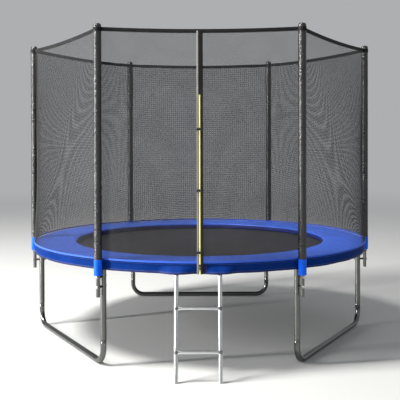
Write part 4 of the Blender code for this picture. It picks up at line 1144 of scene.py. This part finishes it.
rowsR, rowsZ, weights = [], [], []
lean = 0.0012 * ripple(edges, 66, 6, 8, 30, 2 * pi)
for off, z in outer + inner:
    rowsR.append(skirt_radius(np.full(n, z), edges) + off)
    rowsZ.append(np.full(n, z) + (0.0010 * ripple(edges, 67, 6, 10, 34, 2 * pi)) * max(0, (0.630 - z) / 0.026) * (1 - 0.5 * rail_share(edges)))
    weights.append(rail_share(edges) * height_share(np.full(n, z)))
R, Z = np.array(rowsR), np.array(rowsZ)
verts = np.stack([R * np.cos(edges), R * np.sin(edges), Z], -1).reshape(-1, 3)
uv = np.stack(np.broadcast_arrays((edges * 1.2234)[None], Z), -1).reshape(-1, 2)
piece = Piece("skirt_cloth", SKIRT_BLUE_SHADED, SKIRT_SHADE_BLUE)
faces = grid_faces(len(R), n, close_rows=True, close_cols=True)
piece.add(verts, [tuple(f) for f in faces], 0, uv)
hem_rows = (len(levels) - 1, len(outer) + 3)
# the skirt's bottom band, outside and inside, takes the darker blue as painted shade under the hem
piece.index = [1 if len(outer) - 6 <= (i // n) < len(outer) + 2 else 0 for i in range(len(faces))]
skirt = tidy(piece.build(sharp=48), 1e-7)


def blend_to_ladder(obj):
    """Bakes the object's placement into its mesh and works out the share of each point that lies over a rail; nothing
    uses that share.
    """
    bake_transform(obj)
    co = np.zeros(len(obj.data.vertices) * 3, np.float32)
    obj.data.vertices.foreach_get("co", co)
    co = co.reshape(-1, 3).astype(float)
    a = np.arctan2(co[:, 1] - SHIFT, co[:, 0])
    w = rail_share(a) * height_share(co[:, 2])
    return obj


blend_to_ladder(skirt)
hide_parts("pad_skirt")
t = np.linspace(0, 2 * pi, 2881)
for k, z in enumerate((0.6172, 0.6590)):
    rr = skirt_radius(np.full(len(t), z), t) + 0.0002
    dz = 0.0010 * ripple(t, 67, 6, 10, 34, 2 * pi) * max(0, (0.630 - z) / 0.026) * (1 - 0.5 * rail_share(t))

    def curve(s, rr=rr, z=z, dz=dz):
        q = (2 * pi * s) % (2 * pi)
        r = np.interp(q, t, rr)
        return np.stack([r * np.cos(q), r * np.sin(q), z + np.interp(q, t, dz)], -1)

    piece = Piece(f"skirt_stitches_{k}", STITCH)
    length = 2 * pi * SKIRT_R
    count = int(length / 0.0056)
    s0 = np.arange(count) / count
    p, q = curve(s0), curve(s0 + 0.62 / count)
    outw = p * np.array([1, 1, 0])
    outw /= np.linalg.norm(outw, axis=1)[:, None]
    up = np.array([0, 0, 0.00032])
    verts = np.stack([p - up, p + up, q + up, q - up, (p + q) / 2 - up + outw * 0.0005, (p + q) / 2 + up + outw * 0.0005, p - outw * 0.0004 - up, p - outw * 0.0004 + up, q - outw * 0.0004 + up, q - outw * 0.0004 - up], 1).reshape(-1, 3)
    one = [(0, 4, 5, 1), (4, 3, 2, 5), (1, 5, 2, 8, 7), (0, 6, 9, 3, 4), (6, 7, 8, 9), (0, 1, 7, 6), (3, 9, 8, 2)]
    piece.add(verts, [tuple(i + 10 * j for i in f) for j in range(count) for f in one])
    obj = tidy(piece.build(smooth=False), 1e-7)
    blend_to_ladder(obj)


# ------------------------------------------------------------------ safety net
NET_HALF_TOP = 0.6030
NET_HALF_LOW = radians(29.9)
NET_CELL = 0.006
YARN_WIDE, YARN_DEEP = 0.0016, 0.0002


def net_point(s, u, k=0, out=0.0):
    """The net's surface in a panel's own frame: s from -1 to 1 across, u from 0 at the top to 1 at the bottom."""
    s, u = np.broadcast_arrays(np.asarray(s, float), np.asarray(u, float))
    top = np.stack([np.full_like(s, NET_TOP_R), NET_HALF_TOP * s, NET_TOP_Z - NET_SAG * (1 - s ** 2)], -1)
    a = NET_HALF_LOW * s
    low = np.stack([NET_LOW_R * np.cos(a), NET_LOW_R * np.sin(a), np.full_like(s, NET_LOW_Z)], -1)
    p = top * (1 - u[..., None]) + low * u[..., None]
    d = np.sin(pi * u) * (0.0018 * ripple(s * 2.2 + 0.5 * u, 700 + k, 4, 1, 5) + 0.0012 * ripple(s * 1.0 + 1.5 * u, 800 + k, 4, 2, 7)) * (1 - s ** 4)
    p[..., 0] += d + out
    return p


def thread_bundle(paths, normal, half_width, half_depth):
    """Many flat threads at once: paths is threads x points x 3."""
    n, m, _ = paths.shape
    tangent = np.gradient(paths, axis=1)
    tangent /= np.linalg.norm(tangent, axis=2)[..., None]
    side = np.cross(tangent, normal)
    side /= np.linalg.norm(side, axis=2)[..., None]
    up = np.cross(side, tangent)
    corners = [(-1, -1), (1, -1), (1, 1), (-1, 1)]
    verts = np.stack([paths + side * (half_width * a) + up * (half_depth * b) for a, b in corners], 2)
    one = grid_faces(m, 4, close_cols=True)
    faces = (one[None] + (np.arange(n) * m * 4)[:, None, None]).reshape(-1, 4)
    caps = np.array([[3, 2, 1, 0], [(m - 1) * 4, (m - 1) * 4 + 1, (m - 1) * 4 + 2, (m - 1) * 4 + 3]])
    caps = (caps[None] + (np.arange(n) * m * 4)[:, None, None]).reshape(-1, 4)
    along = np.concatenate([np.zeros((n, 1)), np.cumsum(np.linalg.norm(np.diff(paths, axis=1), axis=2), 1)], 1)
    uv = np.stack(np.broadcast_arrays(np.array([0, 0.001, 0.002, 0.003])[None, None], along[..., None]), -1)
    return verts.reshape(-1, 3), np.concatenate([faces, caps]), uv.reshape(-1, 2)


nets = {}
for k, name in enumerate(PANEL_NAMES):
    angle = (k + 0.5) * pi / 3
    piece = Piece(f"net_{name}", NET_YARN)
    across = int(round(2 * NET_HALF_TOP / NET_CELL))
    down = int(round(1.425 / NET_CELL))
    s = (np.arange(across) + 0.5) / across * 2 - 1
    u = np.linspace(0.004, 1, 10)
    S, U = np.meshgrid(s, u, indexing="ij")
    v, f, t = thread_bundle(net_point(S, U, k, -0.00028), np.array([1.0, 0, 0]), YARN_WIDE / 2, YARN_DEEP / 2)
    piece.add(turned(v, angle), f, 0, t)
    u = (np.arange(down) + 0.5) / down
    s = np.linspace(-1, 1, 15)
    U, S = np.meshgrid(u, s, indexing="ij")
    v, f, t = thread_bundle(net_point(S, U, k, 0.00028), np.array([1.0, 0, 0]), YARN_WIDE / 2, YARN_DEEP / 2)
    piece.add(turned(v, angle), f, 0, t)
    net = piece.build("frame", smooth=False)
    nets[name] = net

    # top webbing with its two stitch rows
    web = Piece(f"net_top_webbing_{name}", WEBBING)
    s = np.linspace(-1, 1, 61)
    path = net_point(s, np.zeros_like(s), k)
    path[:, 1] *= 0.6050 / NET_HALF_TOP
    path[:, 2] -= 0.0115
    path[:, 0] += 0.0004 * ripple(s * 8, 910 + k)
    v, f, t = strip(path, (0, 0, 1), 0.0125, 0.0011)
    web.add(turned(v, angle), f, 0, t)
    web = web.build("frame", sharp=50)
    length = 1.206
    for row, dz in enumerate((-0.0100, 0.0100)):
        def curve(q, dz=dz, path=path):
            i = np.clip(q, 0, 1) * (len(path) - 1)
            x = np.stack([np.interp(i, np.arange(len(path)), path[:, j]) for j in range(3)], -1)
            x[:, 2] += dz
            x[:, 0] += 0.0012
            return turned(x, angle)
        dashes(f"webbing_stitches_{name}_{row}", STITCH_BLACK, curve, length, body="frame", lift=(0.0003 * cos(angle), 0.0003 * sin(angle), 0))

    # bottom hem
    low = Piece(f"net_hem_{name}", NET_HEM)
    s = np.linspace(-1, 1, 41)
    path = net_point(s, np.ones_like(s), k)
    path[:, 2] += 0.0050
    v, f, t = strip(path, (0, 0, 1), 0.0055, 0.0013)
    low.add(turned(v, angle), f, 0, t)
    low = low.build("frame", sharp=50)
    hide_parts(f"net_panel_{name}")

# the webbing's turn round each sleeve's top
for i, (leg, angle) in enumerate(zip(LEG_NAMES, LEG_ANGLES)):
    ring = Piece(f"webbing_loop_{leg}", WEBBING)
    profile = []
    for r, z in ((0.0249, 0), (0.0249, 0.024), (0.0253, 0.0248), (0.0262, 0.0246), (0.0264, 0.0240), (0.0264, 0.0006), (0.0262, 0), (0.0253, -0.0002)):
        profile.append((r, 2.0665 + z))
    v, f, u = lathe(profile, 56, polar(POLE_AT, angle), closed=True)
    ring.add(v, f, 0, u * np.array([0.16, 1]))
    tidy(ring.build("frame", sharp=50))


# ------------------------------------------------------------------ door
def door(x, z, out=0.0):
    """A point on the zip's line: x across, z up, out from the net's own surface. Works with arrays."""
    z = np.asarray(z, float)
    r = NET_TOP_R + (NET_LOW_R - NET_TOP_R) * (NET_TOP_Z - NET_SAG - z) / (NET_TOP_Z - NET_SAG - NET_LOW_Z)
    return np.stack(np.broadcast_arrays(np.asarray(x, float), -(r + out), z), -1)


def door_tape(name, material, x0, x1, z0, z1, out, thick, seed, wave=0.0, body="frame"):
    z = np.linspace(z0, z1, 120)
    mid = (x0 + x1) / 2 + wave * ripple(z, seed, 5, 3, 12)
    path = door(mid, z, out + wave * 0.6 * ripple(z, seed + 1, 5, 4, 14))
    v, f, u = strip(path, (1, 0, 0), (x1 - x0) / 2, thick / 2)
    piece = Piece(name, material)
    piece.add(v, f, 0, u)
    return piece.build(body, sharp=50)


ZIP_X = -0.00175
door_pieces = [
    door_tape("door_base_tape", WEBBING, -0.0190, 0.0176, 0.6045, 2.0700, 0.0019, 0.0010, 1000, 0.0003),
    door_tape("door_edge_low", GREY_TAPE, -0.0194, -0.0092, 0.6055, 1.672, 0.0028, 0.0008, 1010, 0.0003),
    door_tape("door_edge_high", GREY_TAPE, -0.0196, -0.0088, 1.668, 2.0680, 0.0029, 0.0008, 1020, 0.0003),
    door_tape("door_zip_tape", YELLOW_TAPE, ZIP_X - 0.0043, ZIP_X + 0.0043, 0.6030, 1.675, 0.0028, 0.0007, 1030, 0.0),
    door_tape("door_flap", WEBBING, 0.0033, 0.0180, 0.6045, 1.700, 0.0034, 0.0011, 1040, 0.0003),
]
coil = Piece("door_zip_coil", YELLOW_COIL)
for side in (-1, 1):
    z = np.arange(0.607, 1.668, 0.0005)
    k = np.arange(len(z))
    swing = np.where(k % 4 < 2, 0.0002, 0.0019)
    lift = np.where((k % 4 == 1) | (k % 4 == 2), 0.0005, 0.0)
    v, f, u = sweep(door(ZIP_X + side * swing, z + side * 0.00025, 0.0036 + lift), 0.00042, 4)
    coil.add(v, f, 0, u)
coil.build("frame", sharp=0)
for k, (x, out) in enumerate(((-0.0172, 0.0034), (0.0048, 0.0040), (0.0165, 0.0040))):
    dashes(f"door_stitches_{k}", STITCH_BLACK, lambda s, x=x, out=out: door(x, 0.610 + 1.055 * s, out), 1.055, body="frame", lift=(0, -0.0003, 0))
# stop at the zip's top
stop = Piece("door_zip_stop", ZINC)
for side in (-1, 1):
    v, f, u = sweep(door(ZIP_X + side * 0.0016, np.linspace(1.668, 1.673, 6), 0.0040), 0.0011, 8)
    stop.add(v, f, 0, u)
stop.build("frame")


def ease_box(size, centre, radius, segments=3):
    """A box with rounded edges."""
    bm = bmesh.new()
    bmesh.ops.create_cube(bm, size=1)
    bmesh.ops.scale(bm, vec=size, verts=bm.verts)
    bmesh.ops.bevel(bm, geom=bm.edges[:], offset=radius, segments=segments, profile=0.5, affect="EDGES")
    verts = np.array([v.co for v in bm.verts]) + np.asarray(centre)
    faces = [tuple(v.index for v in f.verts) for f in bm.faces]
    bm.free()
    return verts, faces


DOOR_LEAN = atan2(NET_LOW_R - NET_TOP_R, NET_TOP_Z - NET_SAG - NET_LOW_Z)


def on_door(verts, z):
    """Local points (x across, y negative outward from the tape's face, z along the zip) to the ring's frame at height z."""
    v = np.asarray(verts, float)
    c, s = cos(DOOR_LEAN), sin(DOOR_LEAN)
    p = door(0, z, 0.003)
    return np.stack([v[:, 0] + p[0], p[1] + c * v[:, 1] + s * v[:, 2], p[2] - s * v[:, 1] + c * v[:, 2]], -1)


SLIDER_Z = 0.655
slider = Piece("zip_slider_body", SLIDER_PAINT)
for z0, z1, w0, w1 in ((-0.0068, 0.0068, 0.0036, 0.0054),):
    rows = []
    n = 28
    t = 2 * pi * np.arange(n) / n
    for y, k in ((-0.0004, 0.90), (-0.0008, 1.0), (-0.0020, 1.0), (-0.0024, 0.92)):
        zz = 0.0068 * np.sign(np.sin(t)) * np.abs(np.sin(t)) ** 0.7
        ww = (0.0045 + 0.0010 * zz / 0.0068) * np.sign(np.cos(t)) * np.abs(np.cos(t)) ** 0.7
        rows.append(np.stack([ww * k, np.full(n, y), zz * k], -1))
    v = np.concatenate(rows)
    f = [tuple(q) for q in grid_faces(4, n, close_cols=True)] + [tuple(range(n))[::-1], tuple(3 * n + j for j in range(n))]
    slider.add(on_door(v + np.array([ZIP_X, 0, 0]), SLIDER_Z), f)
# bridge and pull tab with its holes
bridge = [(0, -0.0023, -0.0050), (0, -0.0040, -0.0044), (0, -0.0050, -0.0025), (0, -0.0052, 0.0), (0, -0.0050, 0.0025), (0, -0.0040, 0.0044), (0, -0.0023, 0.0050)]
v, f, u = sweep(np.array(bridge) + np.array([ZIP_X, 0, 0]), 0.0009, 8, flat=0.0013)
slider.add(on_door(v, SLIDER_Z), f)
n = 40
t = 2 * pi * np.arange(n) / n
outline = np.stack([0.0036 * np.sign(np.cos(t)) * np.abs(np.cos(t)) ** 0.8, -0.0170 + 0.0175 * np.sign(np.sin(t)) * np.abs(np.sin(t)) ** 0.75], -1)
hole_low = np.stack([0.0021 * np.cos(t), -0.0285 + 0.0036 * np.sin(t)], -1)
hole_high = np.stack([0.0019 * np.cos(t), -0.0035 + 0.0022 * np.sin(t)], -1)
tab = bmesh.new()
lay = {}
for y in (-0.0058, -0.0070):
    loops = [[tab.verts.new((p[0] + ZIP_X, y, p[1])) for p in line] for line in (outline, hole_low, hole_high)]
    edges_ = []
    for loop in loops:
        edges_ += [tab.edges.new((loop[j], loop[(j + 1) % n])) for j in range(n)]
    bmesh.ops.triangle_fill(tab, use_beauty=True, edges=edges_)
    lay[y] = loops
for a_loop, b_loop in zip(lay[-0.0058], lay[-0.0070]):
    for j in range(n):
        tab.faces.new((a_loop[j], a_loop[(j + 1) % n], b_loop[(j + 1) % n], b_loop[j]))
tab.verts.index_update()
slider.add(on_door(np.array([v.co for v in tab.verts]), SLIDER_Z), [tuple(v.index for v in f.verts) for f in tab.faces])
tab.free()
slider = tidy(slider.build("zip", sharp=35), 1e-7)
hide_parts("zip_slider")



# side-release buckles: a socket with side windows, a clip with two barbed arms and a middle guide, each on a loop of webbing
def buckle_socket():
    H = 0.0077
    parts = [
        ease_box((0.0140, 0.0021, 2 * H), (-0.0060, -0.01645, 0), 0.0008),
        ease_box((0.0140, 0.0020, 2 * H), (-0.0060, -0.0115, 0), 0.0007),
        ease_box((0.0022, 0.0070, 2 * H), (-0.0120, -0.0140, 0), 0.0007),
        ease_box((0.0024, 0.0050, 2 * H), (-0.0164, -0.0140, 0), 0.0011),
    ]
    for side in (-1, 1):
        parts.append(ease_box((0.0036, 0.0066, 0.0017), (-0.0008, -0.0140, side * (H - 0.00085)), 0.0006))
        parts.append(ease_box((0.0070, 0.0062, 0.0016), (-0.0143, -0.0140, side * (H - 0.0008)), 0.0006))
    for k in range(3):
        parts.append(ease_box((0.0006, 0.0005, 0.0080), (-0.0085 + 0.0018 * k, -0.01765, 0), 0.0002, 2))
    return parts


def buckle_clip():
    H = 0.0077
    parts = [
        ease_box((0.0064, 0.0070, 2 * H), (0.0046, -0.0140, 0), 0.0011),
        ease_box((0.0024, 0.0050, 2 * H), (0.0164, -0.0140, 0), 0.0011),
        ease_box((0.0022, 0.0060, 2 * H), (0.0086, -0.0140, 0), 0.0008),
        ease_box((0.0110, 0.0022, 0.0022), (-0.0032, -0.0140, 0), 0.0006),
    ]
    for side in (-1, 1):
        parts.append(ease_box((0.0090, 0.0062, 0.0016), (0.0130, -0.0140, side * (H - 0.0008)), 0.0006))
        parts.append(ease_box((0.0090, 0.0022, 0.0013), (-0.0020, -0.0140, side * 0.0040), 0.0004))
        n = 14
        t = 2 * pi * np.arange(n) / n
        shape = np.stack([-0.0070 + 0.0030 * np.cos(t), side * (0.0046 + 0.0011 * np.sin(t))], -1)
        rows = np.concatenate([np.stack([shape[:, 0], np.full(n, y), shape[:, 1]], -1) for y in (-0.0127, -0.0153)])
        parts.append((rows, [tuple(q) for q in grid_faces(2, n, close_cols=True)] + [tuple(range(n))[::-1], tuple(range(n, 2 * n))]))
    for k in range(2):
        parts.append(ease_box((0.0006, 0.0005, 0.0080), (0.0036 + 0.0020 * k, -0.01765, 0), 0.0002, 2))
    return parts


LOOP = [(0.0150, -0.0002), (0.0180, -0.0006), (0.0194, -0.0030), (0.0196, -0.0075), (0.0192, -0.0112), (0.0178, -0.0124), (0.0160, -0.0106), (0.0143, -0.0112), (0.0138, -0.0140),
        (0.0143, -0.0168), (0.0162, -0.0176), (0.0184, -0.0166), (0.0198, -0.0140), (0.0204, -0.0090), (0.0206, -0.0030), (0.0198, -0.0002), (0.0186, 0.0012), (0.0160, -0.0001)]


def smooth_line(points, steps=5):
    """A Catmull-Rom curve through the points."""
    p = np.asarray(points, float)
    p = np.concatenate([[2 * p[0] - p[1]], p, [2 * p[-1] - p[-2]]])
    out = []
    for i in range(1, len(p) - 2):
        for t in np.linspace(0, 1, steps, endpoint=False):
            a, b, c, d = p[i - 1], p[i], p[i + 1], p[i + 2]
            out.append(0.5 * (2 * b + (c - a) * t + (2 * a - 5 * b + 4 * c - d) * t * t + (3 * b - a - 3 * c + d) * t ** 3))
    out.append(p[-2])
    return np.array(out)


for place, height in BUCKLE_HEIGHTS.items():
    up = height
    for half, parts, body, side in (("socket", buckle_socket(), "frame", -1), ("clip", buckle_clip(), f"clip_{place}", 1)):
        piece = Piece(f"buckle_{half}_shell_{place}", BLACK_PLASTIC)
        for v, f in parts:
            piece.add(on_door(v, up), f)
        shell = tidy(piece.build(body, sharp=40), 1e-7)
        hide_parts(f"buckle_{half}_{place}")
        line = smooth_line(LOOP[:-1], 4)
        path = np.stack([side * line[:, 0], line[:, 1], np.zeros(len(line))], -1)
        v, f, u = strip(path, (0, 0, 1), 0.0058, 0.0005)
        loop = Piece(f"buckle_{half}_strap_{place}", WEBBING)
        loop.add(on_door(v, up), f, 0, u)
        loop = loop.build(None if half == "clip" else "frame", sharp=50)
        if half == "clip":
            p = door(0, up, 0.003)
            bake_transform(loop)

# an overlap of the skirt beside the door, coloured darker as a painted shade strip
patch = Piece("skirt_overlap", SKIRT_SHADE_BLUE)
z = np.linspace(0.6065, 0.6655, 14)
a0, a1 = -pi / 2 + 0.0196 / SKIRT_R, -pi / 2 + 0.0405 / SKIRT_R
aa = np.linspace(a0, a1, 8)
A, Zz = np.meshgrid(aa, z, indexing="ij")
front = skirt_radius(Zz, A) + 0.0019
back = skirt_radius(Zz, A) + 0.0007
grid = [np.stack([r * np.cos(A), r * np.sin(A), Zz], -1) for r in (front, back)]
na, nz = A.shape
v = np.concatenate([g.reshape(-1, 3) for g in grid])
f = [tuple(q) for q in grid_faces(na, nz)] + [tuple(i + na * nz for i in reversed(q)) for q in grid_faces(na, nz)]
rim = [i * nz for i in range(na)] + [(na - 1) * nz + j for j in range(1, nz)] + [i * nz + nz - 1 for i in range(na - 2, -1, -1)] + [j for j in range(nz - 2, 0, -1)]
f += [(rim[j], rim[(j + 1) % len(rim)], rim[(j + 1) % len(rim)] + na * nz, rim[j] + na * nz) for j in range(len(rim))]
patch.add(v, f, 0, np.tile(np.stack([A.ravel() * 1.22, Zz.ravel()], -1), (2, 1)))
patch = tidy(patch.build(sharp=50), 1e-7)
blend_to_ladder(patch)


# ------------------------------------------------------------------ ladder
def rail_y(z):
    return RAIL_FOOT_Y + RAIL_SLOPE * z


def on_rail(verts, h):
    """Local points (x across from the ladder's middle, y outward negative, z along the rail) at rung height h."""
    v = np.asarray(verts, float)
    c, s = cos(RAIL_LEAN), sin(RAIL_LEAN)
    return np.stack([v[:, 0] + LADDER_X, rail_y(h) + c * v[:, 1] + s * v[:, 2], h - s * v[:, 1] + c * v[:, 2]], -1)


for name, side in (("left", -1), ("right", 1)):
    x = LADDER_X + side * RAIL_HALF
    n = 32
    t = 2 * pi * np.arange(n) / n
    rows = [(RAIL_R - 0.0005, 0.0), (RAIL_R, 0.0006)] + [(RAIL_R, z) for z in np.linspace(0.02, 0.59, 16)] + [(RAIL_R, RAIL_TOP_Z - 0.0006), (RAIL_R - 0.0005, RAIL_TOP_Z)]
    inner = [(0.0112, RAIL_TOP_Z), (0.0112, 0.30), (0.0112, 0.0)]
    verts = np.concatenate([np.stack([x + r * np.cos(t), rail_y(z) + r * np.sin(t), np.full(n, z)], -1) for r, z in rows + inner])
    piece = Piece(f"ladder_tube_{name}", GALV_LADDER, RUBBER)
    piece.add(verts, [tuple(q) for q in grid_faces(len(rows) + 3, n, close_rows=True, close_cols=True)])
    # strap hook, where it meets the ring
    middle = 0.02225
    points = [(HINGE_Y - 0.0345, RING_Z - 0.0400), (HINGE_Y - 0.0310, RING_Z - 0.0290), (HINGE_Y - 0.0272, RING_Z - 0.0170), (HINGE_Y - 0.0240, RING_Z - 0.0070)]
    points += [(HINGE_Y + middle * cos(radians(q)), RING_Z + middle * sin(radians(q))) for q in np.linspace(184, -25, 40)]
    path = [(x, y, z) for y, z in points]
    v, f, u = strip(path, (1, 0, 0), 0.009, 0.00125)
    piece.add(v, f, 0, u)
    # two rivets through the strap and the tube's top
    for h in (0.588, 0.598):
        v, f, u = lathe([(0, 0.0), (0.0028, 0.0002), (0.0034, 0.0012), (0.0036, 0.0026), (0.0030, 0.0034), (0, 0.0036)], 16, axis="Y")
        v = v * np.array([1, -1, 1]) * 0.7 + np.array([x - LADDER_X, -RAIL_R + 0.0006, 0])
        piece.add(on_rail(v, h), f, 0, u)
    rail = tidy(piece.build("ladder"))
    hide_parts(f"ladder_rail_{name}")

for name, h in RUNG_HEIGHTS.items():
    piece = Piece(f"ladder_step_{name}", GALV_LADDER)
    half = 0.0022
    y = -(RAIL_R + 0.0003 + half)
    xs, thick, high = [], [], []
    for q in np.linspace(1, 0, 12):
        xs.append(0.1315 + 0.0115 * q)
        high.append(max(0.0015, 0.0115 * sqrt(max(0, 1 - q ** 2))))
        thick.append(half * (0.80 if q > 0.99 else 1))
    for q in np.linspace(0, 1, 16)[1:]:
        k = smoothstep(0.15, 1.0, q)
        xs.append(0.1315 - (0.1315 - 0.0930) * q)
        thick.append(half + (0.0095 - half) * float(k))
        high.append(0.0115 + (0.0095 - 0.0115) * float(smoothstep(0.3, 1.0, q)))
    xs = [-v for v in xs] + list(reversed(xs))
    thick, high = thick + thick[::-1], high + high[::-1]
    path = np.array([(v, y, 0) for v in xs])
    v, f, u = sweep(path, np.array(thick), 32, up=(0, 0, 1), flat=np.array(high))
    piece.add(on_rail(v, h), f, 0, u)
    rung = tidy(piece.build("ladder", sharp=45))
    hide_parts(f"ladder_rung_{name}")
    for side, word in ((-1, "left"), (1, "right")):
        bolt = Piece(f"ladder_bolt_{name}_{word}", ZINC, RUBBER)
        face = y - half
        cap = [(0.0036, face - 0.0002), (0.0104, face - 0.0002), (0.0110, face - 0.0009), (0.0108, face - 0.0020), (0.0090, face - 0.0034), (0.0056, face - 0.0038), (0.0050, face - 0.0030), (0.0036, face - 0.0030)]
        v, f, u = lathe([(r, -q) for r, q in cap], 32, axis="Y", closed=True)
        v = v * np.array([1, -1, 1]) + np.array([side * RAIL_HALF, 0, 0])
        bolt.add(on_rail(v, h), f, 1, u)
        head = [(0, face - 0.0060), (0.0020, face - 0.0058), (0.0034, face - 0.0050), (0.0040, face - 0.0038), (0.0039, face - 0.0031), (0.0034, face - 0.0030), (0.0034, RAIL_R + 0.0094), (0.0029, RAIL_R + 0.0100), (0, RAIL_R + 0.0100)]
        v, f, u = lathe([(r, -q) for r, q in head], 24, axis="Y")
        v = v * np.array([1, -1, 1]) + np.array([side * RAIL_HALF, 0, 0])
        bolt.add(on_rail(v, h), f, 0, u)
        v, f = hexagon(0.0072, RAIL_R + 0.0012, RAIL_R + 0.0070, 0.0035)
        v = np.stack([v[:, 1] + side * RAIL_HALF, v[:, 0], v[:, 2]], -1)
        bolt.add(on_rail(v, h), f, 0)
        v, f, u = lathe([(0.0036, RAIL_R + 0.0001), (0.0078, RAIL_R + 0.0001), (0.0080, RAIL_R + 0.0006), (0.0078, RAIL_R + 0.0011), (0.0036, RAIL_R + 0.0011)], 24, axis="Y", closed=True)
        bolt.add(on_rail(v + np.array([side * RAIL_HALF, 0, 0]), h), f, 0, u)
        bolt = tidy(bolt.build("ladder", sharp=30))
